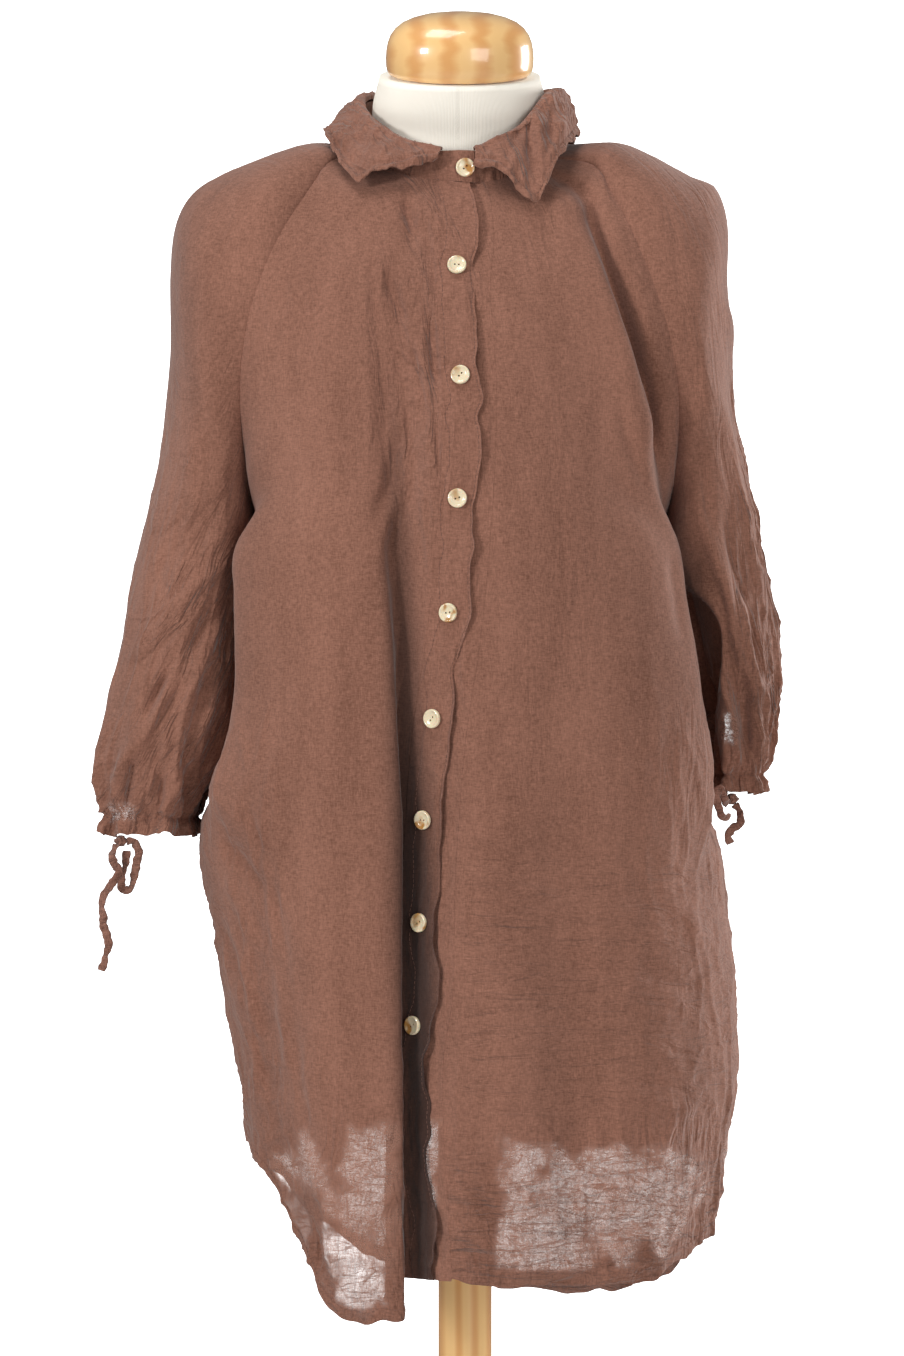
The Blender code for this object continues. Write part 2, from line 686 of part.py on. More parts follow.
def outward(grid, normals, centre):
    """Turns all the normals round where they point at the centre line on the whole."""
    away = grid - np.array([*centre, 0.0])
    away[..., 2] = 0
    return normals if (away * normals).sum() > 0 else -normals


def share_normals(first, first_part, second, second_part):
    """Gives two pieces the same normals where they are sewn together."""
    both = first[first_part] + second[second_part]
    both = both / np.linalg.norm(both, axis=-1, keepdims=True)
    first[first_part] = both
    second[second_part] = both


def band_grids():
    """The middle surfaces of the two front bands, made from the closing line and the folds."""
    underarm_z = raglan(1, 1.0)[0][2]
    over, under = [], []
    for row in range(YOKE_ROWS + SKIRT_ROWS + 1):
        if row <= YOKE_ROWS:
            z = NECK_FRONT_Z + (underarm_z - NECK_FRONT_Z) * yoke_share(row)
        else:
            down = (row - YOKE_ROWS) / SKIRT_ROWS
            z = underarm_z + (hem_z(HEM_RIGHT, 0.0) - underarm_z) * down
        edge = closing_x(z)
        ends = np.array([edge - BAND_WIDTH, edge, edge + UNDER_REACH])
        heights = np.full(3, z)
        angles = np.array([closing_angle(x, z) for x in ends])
        seam, free, far = section_point(heights, angles)
        if row == 0:
            seam, free, far = (neck_row(neck_angle(x), neck_angle(x), 1)[0] for x in ends)
        seam, free = seam - (0, BAND_LIFT, 0), free - (0, BAND_LIFT, 0)
        over.append([seam, free])
        under.append([seam, free, far])
    over, under = folded(np.array(over), FRONT_FOLDS, -1), folded(np.array(under), FRONT_FOLDS, -1)
    across = np.linspace(0, 1, BAND_COLUMNS)[None, :, None]
    over_grid = over[:, :1] + (over[:, 1:] - over[:, :1]) * across
    inward = (under[:, 1:2] - under[:, :1]) @ np.array([[0, 1, 0], [-1, 0, 0], [0, 0, 0]])
    inward = inward / np.linalg.norm(inward, axis=-1, keepdims=True) * BAND_LIFT
    start = under[:, :1] + (under[:, 1:2] - under[:, :1]) * UNDER_START + inward
    middle = under[:, 1:2] + inward
    under_grid = np.concatenate([start + (middle - start) * across[:, :-1], middle, under[:, 2:]], 1)
    return over_grid, under_grid


def make_shirt():
    linen = new_material("Brown linen", (0.30, 0.145, 0.108), 0.85)
    grids = {
        "shirt_front_right": front_grid(-1),
        "shirt_front_left": front_grid(1),
        "shirt_back": back_grid(),
        "shirt_sleeve_right": sleeve_grid(-1),
        "shirt_sleeve_left": sleeve_grid(1),
    }
    grids["shirt_band_over"], grids["shirt_band_under"] = band_grids()
    edges = {
        "shirt_front_right": ("first_column", "last_column", "first_row"),
        "shirt_front_left": ("first_column", "last_column", "first_row"),
        "shirt_back": ("first_column", "last_column", "first_row"),
        "shirt_sleeve_right": ("first_column", "last_column", "first_row"),
        "shirt_sleeve_left": ("first_column", "last_column", "first_row"),
        "shirt_band_over": ("first_column", "first_row"),
        "shirt_band_under": ("last_column", "first_row"),
    }
    normals = {}
    for name, grid in grids.items():
        centre = (0, 0)
        if "sleeve" in name:
            centre = (150 if "left" in name else -150, 0)
        normals[name] = outward(grid, normals_of(grid), centre)
    yoke = slice(0, YOKE_ROWS)
    skirt = slice(YOKE_ROWS + 1, None)
    for side, back_end in (("right", 0), ("left", -1)):
        front, sleeve = normals[f"shirt_front_{side}"], normals[f"shirt_sleeve_{side}"]
        back = normals["shirt_back"]
        share_normals(front, (yoke, -1), sleeve, (yoke, 0))
        share_normals(back, (yoke, back_end), sleeve, (yoke, -1))
        share_normals(front, (skirt, -1), back, (skirt, back_end))
    whole = slice(None)
    band = normals["shirt_band_over"]
    share_normals(normals["shirt_front_right"], (whole, 0), band, (whole, 0))
    band = normals["shirt_band_under"]
    share_normals(normals["shirt_front_left"], (whole, 0), band, (whole, -1))
    for name, grid in grids.items():
        cloth_wall(name, trimmed(grid, edges[name]), normals[name], linen)
    return grids["shirt_band_over"], normals["shirt_band_over"]


def make_collar():
    linen = bpy.data.materials["Brown linen"]
    angles = np.linspace(STAND[0][0], STAND[-1][0], STAND_COLUMNS_AROUND)
    grid = []
    for up in (1.0, 0.5, 0.0):
        row = []
        for angle in angles:
            got = {name: column(STAND, STAND_COLUMNS, name, angle) for name in STAND_COLUMNS}
            z = got["z_low"] + 1.0 + (got["z_high"] - got["z_low"] - 1.0) * up
            row.append(ring_point(angle, got["radius"] - STAND_LEAN * up, z))
        grid.append(row)
    grid = np.array(grid)
    cloth_wall("shirt_collar_stand", grid, outward(grid, normals_of(grid), NECK_CENTRE), linen)

    angles = np.linspace(FALL[0][0], FALL[-1][0], FALL_COLUMNS_AROUND)
    grid = []
    for angle in angles:
        radius = column(STAND, STAND_COLUMNS, "radius", angle) - STAND_LEAN
        top = column(STAND, STAND_COLUMNS, "z_high", angle) + FALL_TOP_GAP
        start = ring_point(angle, radius, top)
        edge = np.array([column(FALL, FALL_COLUMNS, name, angle) for name in FALL_COLUMNS[1:]])
        outwards = ring_point(angle, radius + 1, top) - start
        rise = np.array([0, 0, FALL_ROLL])
        row = [start + outwards * out + rise * up for out, up in FALL_ROLL_PATH]
        over = row[-1]
        for t in np.linspace(0, 1, FALL_ROWS)[1:]:
            belly = outwards * FALL_BELLY * math.sin(math.pi * t)
            row.append(over + (edge - over) * t + belly)
        grid.append(row)
    grid = np.array(grid)
    normals = normals_of(grid)
    if (normals[:, -1] * (grid[:, -1] - np.array([*NECK_CENTRE, 1500.0]))).sum() < 0:
        normals = -normals
    cloth_wall("shirt_collar_fall", grid, normals, linen)


def turned(name, profile, material, segments, centre=(0, 0, 0), depth=1.0, turn=None):
    """A solid turned from a profile of radius and height that starts and ends on its axis."""
    points, faces = [np.array([0, 0, profile[0][1]], float)], []
    for radius, z in profile[1:-1]:
        for step in range(segments):
            angle = 2 * math.pi * step / segments
            points.append(np.array([radius * math.cos(angle), radius * math.sin(angle), z]))
    points.append(np.array([0, 0, profile[-1][1]], float))
    rings = len(profile) - 2
    end = len(points) - 1
    for step in range(segments):
        after = (step + 1) % segments
        faces.append((0, 1 + after, 1 + step))
        for ring in range(rings - 1):
            low, high = 1 + ring * segments, 1 + (ring + 1) * segments
            faces.append((low + step, low + after, high + after, high + step))
        top = 1 + (rings - 1) * segments
        faces.append((top + step, top + after, end))
    points = np.array(points)
    points[:, 1] *= depth
    if turn is not None:
        points = points @ np.array(turn).T
    return new_object(name, points + np.array(centre), faces, material)


def turn_to(axis):
    """The rotation that takes +Z to the axis."""
    z = axis / np.linalg.norm(axis)
    x = np.cross((0, 0, 1) if abs(z[2]) < 0.9 else (1, 0, 0), z)
    x = x / np.linalg.norm(x)
    return np.stack([x, np.cross(z, x), z], axis=1)


def make_buttons(band, normals):
    """Nine buttons down the middle of the buttonhole band, the first on the collar stand."""
    pearl = new_material("Cream button", (0.74, 0.64, 0.50), 0.25)
    half = BUTTON_THICKNESS / 2
    profile = [(BUTTON_RADIUS - inset, height - half) for inset, height in BUTTON_PROFILE]
    centre = (band[:, 0] + band[:, -1]) / 2
    across = band[:, -1] - band[:, 0]
    for number, z in enumerate(BUTTON_HEIGHTS, start=1):
        if z > centre[0, 2]:
            radius = column(STAND, STAND_COLUMNS, "radius", BUTTON_ANGLE)
            place = ring_point(BUTTON_ANGLE, radius - STAND_LEAN / 4, z)
            axis = np.array([0.0, -1.0, 0.12])
        else:
            row = int(np.argmax(centre[:, 2] < z)) - 1
            down = centre[row + 1] - centre[row]
            t = (centre[row, 2] - z) / (centre[row, 2] - centre[row + 1, 2])
            place = centre[row] + down * t
            axis = np.cross(across[row] + (across[row + 1] - across[row]) * t, down)
            axis = axis * np.sign(axis @ normals[row, 1])
        axis = axis / np.linalg.norm(axis)
        place = place + axis * (WALL / 2 + BUTTON_STANDOFF + half)
        name = f"shirt_button_{number}"
        turned(name, profile, pearl, BUTTON_SIDES, place, turn=turn_to(axis))


def smooth_route(points, spacing):
    """Evenly spaced points on a smooth curve through the route's own points."""
    points = np.array(points, float)
    keys = np.concatenate([[0], np.cumsum(np.linalg.norm(np.diff(points, axis=0), axis=1))])
    names = ("key", "x", "y", "z")
    rows = [(key, *point) for key, point in zip(keys, points)]
    fine = np.linspace(0, keys[-1], 400)
    dense = np.stack([column(rows, names, axis, fine) for axis in "xyz"], axis=1)
    return even_row(dense, max(4, round(keys[-1] / spacing)))


def make_ties():
    """The loops and free ends of the two drawstrings, each with its knot at the cuff."""
    cord = new_material("Brown linen tie", (0.26, 0.13, 0.10), 0.85)
    routes = {
        "tie_right_loop": TIE_RIGHT_LOOP,
        "tie_right_end": TIE_RIGHT_END,
        "tie_left_loop": TIE_LEFT_LOOP,
        "tie_left_end": TIE_LEFT_END,
    }
    for name, route in routes.items():
        curve = bpy.data.curves.new(name, "CURVE")
        curve.dimensions = "3D"
        curve.bevel_depth = TIE_RADIUS * MM
        curve.bevel_resolution = 2
        curve.use_fill_caps = True
        spline = curve.splines.new("POLY")
        points = smooth_route(route, TIE_RADIUS * 4)
        spline.points.add(len(points) - 1)
        for place, point in zip(spline.points, points):
            place.co = (*(point * MM), 1.0)
        curve.materials.append(cord)
        bpy.context.scene.collection.objects.link(bpy.data.objects.new(name, curve))
    half = KNOT_RADIUS
    profile = [(0, -half)]
    for step in range(1, KNOT_RINGS):
        angle = math.pi * (step / KNOT_RINGS - 0.5)
        profile.append((half * math.cos(angle), half * math.sin(angle)))
    profile.append((0, half))
    for name, place in (("tie_right_knot", TIE_RIGHT_KNOT), ("tie_left_knot", TIE_LEFT_KNOT)):
        turned(name, profile, cord, KNOT_SIDES, place)


def make_form():
    """The torso, the neck cap, the pole and the base."""
    jersey = new_material("Off-white jersey", (0.87, 0.83, 0.74), 0.8)
    points, faces = [], []
    around = FORM_COLUMNS_AROUND
    tilt = math.tan(math.radians(NECK_TILT))
    for z, half_width, front, back, centre_y in FORM:
        for step in range(around):
            angle = 2 * math.pi * step / around
            sine, cosine = math.sin(angle), math.cos(angle)
            power = 2 / FORM_SQUARENESS
            x = half_width * math.copysign(abs(sine) ** power, sine)
            reach = front if cosine > 0 else back
            y = centre_y - reach * math.copysign(abs(cosine) ** power, cosine)
            tilted = float(smoothstep((z - NECK_TILT_FROM) / (FORM[-1][0] - NECK_TILT_FROM)))
            points.append(np.array([NECK_CENTRE[0] + x, y, z + tilt * tilted * (y - centre_y)]))
    rings = len(FORM)
    for ring in range(rings - 1):
        for step in range(around):
            after = (step + 1) % around
            low, high = ring * around, (ring + 1) * around
            faces.append((low + step, low + after, high + after, high + step))
    faces.append(tuple(range(around - 1, -1, -1)))
    faces.append(tuple((rings - 1) * around + step for step in range(around)))
    new_object("form_torso", points, faces, jersey)

    wood = new_material("Varnished pine", (0.78, 0.56, 0.33), 0.3)
    cosine, sine = math.cos(math.radians(NECK_TILT)), math.sin(math.radians(NECK_TILT))
    lean = ((1, 0, 0), (0, cosine, -sine), (0, sine, cosine))
    turned("form_cap", CAP_PROFILE, wood, CAP_SIDES, CAP_CENTRE, CAP_DEPTH, lean)
    top, bottom = FORM_BOTTOM - REST_GAP, BASE_THICKNESS + REST_GAP
    pole = ((0, bottom), (POLE_RADIUS, bottom), (POLE_RADIUS, top), (0, top))
    turned("form_pole", pole, wood, POLE_SIDES)
    rim, high = BASE_RADIUS, BASE_THICKNESS
    base = (
        (0, 0), (rim - 1.5, 0), (rim, 1.5), (rim, high - BASE_ROUNDING),
        (rim - 0.3 * BASE_ROUNDING, high - 0.3 * BASE_ROUNDING), (rim - BASE_ROUNDING, high),
        (0, high),
    )
    turned("form_base", base, wood, BASE_SIDES)


def main():
    for item in list(bpy.data.objects):
        bpy.data.objects.remove(item)
    make_form()
    band, normals = make_shirt()
    make_collar()
    make_buttons(band, normals)
    make_ties()


main()
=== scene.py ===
# Loose linen button-up shirt on a limbless dress form. It is drawn on the solids' own sections and
# folds, finer, with creases, weave and stitches on top. Lengths are in mm until a mesh is made.
import math

import bpy
import numpy as np
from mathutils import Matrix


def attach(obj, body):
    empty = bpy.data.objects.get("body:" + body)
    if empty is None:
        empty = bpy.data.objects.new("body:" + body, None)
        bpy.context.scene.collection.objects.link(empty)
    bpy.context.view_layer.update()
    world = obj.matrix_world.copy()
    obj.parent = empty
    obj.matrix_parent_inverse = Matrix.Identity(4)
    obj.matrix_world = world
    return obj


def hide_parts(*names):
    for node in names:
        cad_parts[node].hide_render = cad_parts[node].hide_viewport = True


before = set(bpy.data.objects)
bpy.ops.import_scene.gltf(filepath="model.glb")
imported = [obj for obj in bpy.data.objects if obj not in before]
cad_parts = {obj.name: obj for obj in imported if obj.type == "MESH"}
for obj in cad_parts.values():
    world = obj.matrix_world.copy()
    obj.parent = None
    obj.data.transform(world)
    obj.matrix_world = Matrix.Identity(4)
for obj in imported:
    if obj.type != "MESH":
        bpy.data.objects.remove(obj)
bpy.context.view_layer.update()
mm = 0.001
print("frame loaded")


def hexColour(text):
    parts = [int(text[i:i + 2], 16) / 255 for i in (0, 2, 4)]
    return tuple(c / 12.92 if c <= 0.04045 else ((c + 0.055) / 1.055) ** 2.4 for c in parts) + (1.0,)


def addNode(tree, kind, inputs=None, stops=(), **settings):
    # An input is a value, a socket, or a node that gives its first output
    node = tree.nodes.new(kind)
    for name, value in settings.items():
        setattr(node, name, value)
    for name, value in (inputs or {}).items():
        if isinstance(value, bpy.types.Node):
            value = value.outputs[0]
        if isinstance(value, bpy.types.NodeSocket):
            tree.links.new(value, node.inputs[name])
        else:
            node.inputs[name].default_value = value
    for number, (position, colour) in enumerate(stops):
        node.color_ramp.elements[number].position = position
        node.color_ramp.elements[number].color = hexColour(colour)
    return node


def startMaterial(name, roughness, **sockets):
    material = bpy.data.materials.new(name)
    material.use_nodes = True
    tree = material.node_tree
    shader = tree.nodes["Principled BSDF"]
    shader.inputs["Roughness"].default_value = roughness
    for socket, value in sockets.items():
        shader.inputs[socket.replace("_", " ")].default_value = value
    return material, tree, shader


# Camera at the photo's height, square on, with a frame 1.017 m high at the shirt
camera = dict(away=4.5, height=1.1065, across=-0.00975, view=1.017, sensor=36)
cameraData = bpy.data.cameras.new("camera")
cameraData.sensor_fit = "VERTICAL"
cameraData.sensor_height = camera["sensor"]
cameraData.lens = camera["sensor"] * camera["away"] / camera["view"]
cameraObject = bpy.data.objects.new("camera", cameraData)
cameraObject.location = (camera["across"], -camera["away"], camera["height"])
cameraObject.rotation_euler = (math.pi / 2, 0, 0)
bpy.context.scene.collection.objects.link(cameraObject)
bpy.context.scene.camera = cameraObject
bpy.context.scene.view_settings.view_transform = "Standard"

# The cut. Squareness is of the body's sections, where 2 is an ellipse; the gap is between sleeve and
# body where four seams meet; rows stand closer towards the neck and columns towards the band; folds
# die out over a share of each piece's width at its seams.
cut = dict(squareness=2.35, underarmGap=2.2, neckFront=1472.0, neckBack=1514.0, yokeRows=8,
           yokeCrowding=1.3, skirtRows=13, across=180, frontCrowding=1.45, seamHold=0.08)
# Both front bands: the buttonhole band stands off the button band, its lift dies out over a width
# of its front, and the button band shows beyond its free edge. Its stitches lie this far from the
# free edge.
bands = dict(width=27.0, lift=2.6, fade=55.0, beyond=12.0, coarse=4, across=26, thickness=1.1,
             stitched=(2.2, 24.5))
# The casing is the turned edge at the cuff
sleeve = dict(rows=8, around=230, gathers=8, seamGap=0.02, casing=13.5)

# Where a table's first row is words, they name its columns.
#
# Body, neck to hem: reach to the wearer's right, left, front and back, and how far the cloth is
# pushed in at each side to leave room for the sleeve
body = (
    ("z", "right", "left", "front", "back", "tuckRight", "tuckLeft"),
    (1515, 104, 98, 74, 70, 0, 0), (1480, 178, 166, 83, 84, 0, 0), (1440, 204, 192, 98, 98, 0, 0),
    (1390, 200, 184, 117, 108, 0, 0), (1340, 186, 168, 128, 112, 0, 0), (1290, 176, 162, 136, 113, 4, 4),
    (1240, 180, 166, 141, 113, 23, 13), (1205, 192, 178, 143, 113, 41, 32),
    (1165, 194, 185, 144, 113, 48, 37), (1120, 192, 193, 144, 115, 40, 36),
    (1067, 197, 200, 144, 118, 34, 30), (1038, 208, 205, 144, 120, 30, 30),
    (1012, 212, 203, 144, 122, 20, 24), (985, 199, 190, 144, 123, 0, 0), (940, 192, 195, 144, 126, 0, 0),
    (870, 181, 203, 145, 131, 0, 0), (800, 167, 204, 147, 136, 0, 0), (740, 158, 193, 149, 139, 0, 0),
    (690, 146, 186, 150, 140, 0, 0), (620, 132, 178, 150, 140, 0, 0),
)

# The raglan seams, neck to underarm: both run down at x and z, in front and at the back, and the
# sleeve between them reaches up and out to its crest
raglanColumns = ("x", "z", "frontY", "backY", "crestX", "crestZ", "crestY", "depth")
raglanRight = (
    raglanColumns,
    (86, 1505, -40, 36, 94, 1511, -4, 38), (112, 1472, -67, 64, 140, 1500, -2, 66),
    (138, 1430, -83, 82, 182, 1483, 0, 83), (156, 1385, -88, 92, 207, 1466, 2, 90),
    (164, 1345, -83, 90, 218, 1438, 4, 90), (166, 1300, -70, 76, 221, 1396, 5, 85),
    (160, 1250, -46, 52, 221, 1342, 5, 80), (151, 1205, -0.2, 0.2, 228, 1280, 5, 74),
)
raglanLeft = (
    raglanColumns,
    (84, 1500, -40, 36, 92, 1513, -4, 38), (106, 1470, -66, 64, 134, 1500, -2, 66),
    (128, 1424, -83, 84, 169, 1482, 0, 84), (146, 1375, -88, 94, 190, 1470, 2, 91),
    (155, 1335, -82, 90, 197, 1438, 4, 90), (158, 1292, -68, 76, 197, 1390, 6, 84),
    (154, 1246, -44, 52, 201, 1330, 8, 78), (146, 1205, -0.2, 0.2, 209, 1272, 10, 72),
)

# The sleeves below the underarm: the inner and the outer edge of each section, half its depth
# from front to back, where its middle lies, and how deep the gathers are
sleeveColumns = ("innerX", "innerZ", "outerX", "outerZ", "middleY", "depth", "gather")
sleeveRight = (
    sleeveColumns,
    (157, 1172, 239, 1228, 4, 70, 0.0), (160, 1130, 250, 1180, 2, 66, 0.0),
    (165, 1092, 258, 1132, 0, 62, 0.6), (176, 1058, 268, 1088, -2, 57, 1.6),
    (189, 1032, 276, 1050, -3, 51, 2.6), (199, 1012, 276, 1020, -4, 44, 3.4),
    (203, 1000, 270, 1003, -4, 37, 3.6), (201, 989, 274, 990, -4, 40, 4.2),
)
sleeveLeft = (
    sleeveColumns,
    (155, 1174, 219, 1216, 10, 68, 0.0), (163, 1140, 230, 1170, 10, 64, 0.0),
    (170, 1108, 237, 1124, 10, 60, 0.6), (178, 1082, 236, 1094, 9, 55, 1.4),
    (183, 1060, 232, 1068, 8, 49, 2.4), (186, 1042, 227, 1048, 7, 42, 3.2),
    (188, 1031, 222, 1034, 6, 35, 3.4), (186, 1020, 225, 1021, 6, 38, 4.0),
)

# Where the buttonhole band's free edge runs
closing = (
    ("z", "x"),
    (1480, 3), (1430, 9), (1390, 6), (1338, 10), (1255, 9), (1195, 5), (1128, -2), (1060, -12), (993, -17),
    (940, -20), (876, -21), (828, -28), (786, -28), (709, -23), (640, -22),
)

# The hem's height along each piece, 0 at the closing or the right side, 1 at the other side
hemRight = (
    ("along", "z"),
    (0, 668), (0.12, 650), (0.24, 639), (0.34, 635), (0.4, 647), (0.48, 678), (0.62, 722), (0.8, 748),
    (1, 765),
)
hemLeft = (
    ("along", "z"),
    (0, 668), (0.25, 665), (0.5, 668), (0.64, 677), (0.8, 694), (1, 706),
)
hemBack = (
    ("along", "z"),
    (0, 765), (0.12, 738), (0.22, 700), (0.42, 648), (0.6, 634), (0.72, 636), (0.86, 668), (1, 706),
)

# Folds, each along a line seen from the front: a ridge where the height is positive, a valley
# where it is negative. The two widths are to the wearer's right and left of the line, lean moves
# the crest on the wearer's right over the valley, and past each end the fold dies out over its
# fade, or goes on in the next row where that is 0.
foldColumns = ("xTop", "zTop", "xBottom", "zBottom", "widthRight", "widthLeft", "heightTop",
               "heightBottom", "leanTop", "leanBottom", "fadeTop", "fadeBottom")
frontFolds = (
    (-61, 1370, -55, 1240, 13, 24, -5, -14, 1, 8, 40, 0),
    (-55, 1240, -52, 1120, 13, 30, -14, -25, 8, 16, 0, 0),
    (-52, 1120, -56, 1000, 13, 36, -25, -33, 16, 28, 0, 0),
    (-56, 1000, -64, 850, 13, 42, -33, -38, 28, 36, 0, 0),
    (-64, 850, -63, 600, 13, 48, -38, -40, 36, 37, 0, 0),
    (-40, 1440, -18, 1310, 8, 8, -3, -4, 0, 0, 30, 40), (-52, 1400, -36, 1240, 8, 9, -3, -5, 0, 0, 30, 40),
    (85, 1462, 108, 1385, 10, 11, -11, -22, 6, 15, 22, 0),
    (108, 1385, 131, 1300, 10, 13, -22, -26, 15, 19, 0, 0),
    (131, 1300, 148, 1225, 10, 12, -26, -4, 19, 5, 0, 30), (30, 1330, 26, 700, 40, 40, 2, 7, 0, 0, 60, 60),
    (120, 1150, 150, 720, 45, 30, 0, 8, 0, 0, 60, 60), (70, 1000, 84, 700, 24, 24, -3, -8, 0, 0, 60, 60),
    (-150, 930, -128, 700, 12, 14, -6, -12, 0, 0, 60, 60),
    (-172, 980, -150, 830, 9, 10, -5, -8, 0, 0, 30, 60), (-96, 900, -84, 640, 22, 22, 3, 9, 0, 0, 60, 60),
)
backFolds = (
    (-70, 1400, -92, 640, 20, 26, -3, -24, 0, 0, 60, 60),
    (-20, 1330, -26, 640, 22, 22, 2, 17, 0, 0, 60, 60), (34, 1380, 44, 640, 20, 22, -3, -22, 0, 0, 60, 60),
    (92, 1300, 108, 640, 22, 24, 2, 18, 0, 0, 60, 60),
    (-130, 1200, -142, 700, 18, 18, 0, 12, 0, 0, 60, 60),
    (140, 1180, 160, 700, 16, 16, 0, -12, 0, 0, 60, 60),
)

# The collar stands round a centre, between the angles from the front where the raglan seams meet
# the neck seam; the stand leans in towards its top, and the fall rolls up over it
collar = dict(centre=(-4.0, -6.0), frontAngle=62.0, backAngle=118.0, seamDrop=0.9, lean=4.0, roll=4.5,
              coarse=3, stitched=6.4, standAround=260, standRows=14, standThickness=1.0, fallAround=300,
              fallThickness=1.3)
stand = (
    ("angle", "radius", "zLow", "zHigh"),
    (-12, 76, 1472, 1494), (15, 76, 1473, 1497), (35, 76, 1480, 1508), (60, 75, 1493, 1534),
    (90, 74, 1506, 1542), (135, 72, 1512, 1544), (180, 72, 1514, 1547), (225, 73, 1512, 1544),
    (270, 75, 1506, 1535), (300, 77, 1493, 1517), (330, 77, 1478, 1498), (368, 79, 1472, 1495),
)
fall = (
    ("angle", "edgeX", "edgeY", "edgeZ"),
    (8, 6, -89, 1487), (20, 24, -96, 1481), (30, 36, -101, 1470), (40, 50, -100, 1456),
    (54, 67, -84, 1487), (72, 80, -48, 1506), (95, 83, -8, 1514), (130, 74, 52, 1506), (180, -4, 88, 1499),
    (230, -84, 52, 1505), (265, -103, -8, 1515), (288, -101, -50, 1504), (306, -83, -85, 1475),
    (322, -60, -93, 1479), (338, -36, -94, 1485), (350, -21, -88, 1492),
)


def column(table, name, at):
    names = table[0]
    rows = np.array(sorted(table[1:]), float)
    keys, values = rows[:, 0], rows[:, names.index(name)]
    slopes = np.gradient(values, keys)
    at = np.clip(np.asarray(at, float), keys[0], keys[-1])
    low = np.clip(np.searchsorted(keys, at) - 1, 0, len(keys) - 2)
    span = keys[low + 1] - keys[low]
    return smoothBetween((at - keys[low]) / span, values[low], values[low + 1],
                         span * slopes[low], span * slopes[low + 1])


def smoothBetween(t, first, last, startSlope, endSlope):
    return ((1 + 2 * t) * (1 - t) ** 2 * first + t * (1 - t) ** 2 * startSlope
            + t * t * (3 - 2 * t) * last + t * t * (t - 1) * endSlope)


def columns(table, at):
    return {name: column(table, name, at) for name in table[0][1:]}


def byRow(table, at):
    numbered = (("row", *table[0]), *((place, *row) for place, row in enumerate(table[1:])))
    return columns(numbered, np.asarray(at) * (len(table) - 2))


def smoothstep(t):
    t = np.clip(t, 0, 1)
    return t * t * (3 - 2 * t)


def bump(away, width):
    return np.exp(-((away / width) ** 2))


def unit(vectors):
    return vectors / np.linalg.norm(vectors, axis=-1, keepdims=True)


def lengthsAlong(points, axis=0):
    steps = np.linalg.norm(np.diff(points, axis=axis), axis=-1)
    start = np.zeros_like(np.take(steps, [0], axis=axis))
    return np.concatenate([start, np.cumsum(steps, axis=axis)], axis=axis)


def closingX(z):
    return column(closing, "x", z)


def sectionPoint(z, angle):
    sine, cosine = np.sin(angle), np.cos(angle)
    side, tuck = (np.where(sine > 0, column(body, left, z), column(body, right, z))
                  for left, right in (("left", "right"), ("tuckLeft", "tuckRight")))
    reach = np.where(cosine > 0, column(body, "front", z), column(body, "back", z))
    power = 2 / cut["squareness"]
    x = side * np.sign(sine) * np.abs(sine) ** power
    y = -reach * np.sign(cosine) * np.abs(cosine) ** power
    x = x - np.sign(x) * tuck * np.exp(-((y / 60) ** 4))
    return np.stack([x, y, z], axis=-1)


def sectionAngle(x, y, z):
    side = column(body, "left" if x > 0 else "right", z)
    reach = column(body, "front" if y < 0 else "back", z)
    power = cut["squareness"] / 2
    angle = math.atan2((abs(x) / side) ** power, (abs(y) / reach) ** power)
    if y > 0:
        angle = math.pi - angle
    return math.copysign(angle, x)


def closingAngle(x, z):
    side = column(body, "left" if x > 0 else "right", z)
    return math.copysign(math.asin(min(1.0, abs(x) / side) ** (cut["squareness"] / 2)), x)


def evenRow(points, count, crowding=1.0):
    along = lengthsAlong(points)
    at = along[-1] * np.linspace(0, 1, count) ** crowding
    return np.stack([np.interp(at, along, points[:, axis]) for axis in range(3)], axis=1)


def folded(points, folds, facing):
    x, z = points[..., 0].copy(), points[..., 2].copy()
    turned = np.clip(facing * points[..., 1] / 60, 0, 1)
    out = np.zeros_like(x)
    sideways = np.zeros_like(x)
    for row in folds:
        fold = dict(zip(foldColumns, row))
        within = np.clip((fold["zTop"] - z) / (fold["zTop"] - fold["zBottom"]), 0, 1)
        line, height, lean = (fold[part + "Top"] + (fold[part + "Bottom"] - fold[part + "Top"]) * within
                              for part in ("x", "height", "lean"))
        above = (z - fold["zTop"]) / max(fold["fadeTop"], 1e-6)
        below = (fold["zBottom"] - z) / max(fold["fadeBottom"], 1e-6)
        strength = 1 - smoothstep(np.maximum(above, below))
        away = x - line
        out += strength * height * bump(away, np.where(away < 0, fold["widthRight"], fold["widthLeft"]))
        sideways += strength * lean * bump(away + 1.5 * fold["widthRight"], 1.1 * fold["widthRight"])
    moved = points.copy()
    moved[..., 1] += facing * out * turned
    moved[..., 0] += sideways * turned
    return moved


def raglan(side, at):
    got = byRow(raglanLeft if side > 0 else raglanRight, at)
    front, back = (np.array([side * got["x"], got[y], got["z"]]) for y in ("frontY", "backY"))
    crest = np.array([side * got["crestX"], got["crestY"], got["crestZ"]])
    return front, back, crest, got["depth"]


def ringPoint(angle, radius, z):
    turn = math.radians(angle)
    x, y = collar["centre"]
    return np.array([x + radius * math.sin(turn), y - radius * math.cos(turn), z])


def neckRow(first, last, count):
    row = []
    for angle in np.linspace(first, last, count):
        place = angle % 360 if angle < stand[1][0] else angle
        got = columns(stand, place)
        row.append(ringPoint(angle, got["radius"], got["zLow"] - collar["seamDrop"]))
    return np.array(row)


def neckAngle(x):
    return math.degrees(math.asin((x - collar["centre"][0]) / stand[1][1]))


def yokeShare(row):
    return (row / cut["yokeRows"]) ** cut["yokeCrowding"]


def skirtShare(row):
    return (row - cut["yokeRows"]) / cut["skirtRows"]


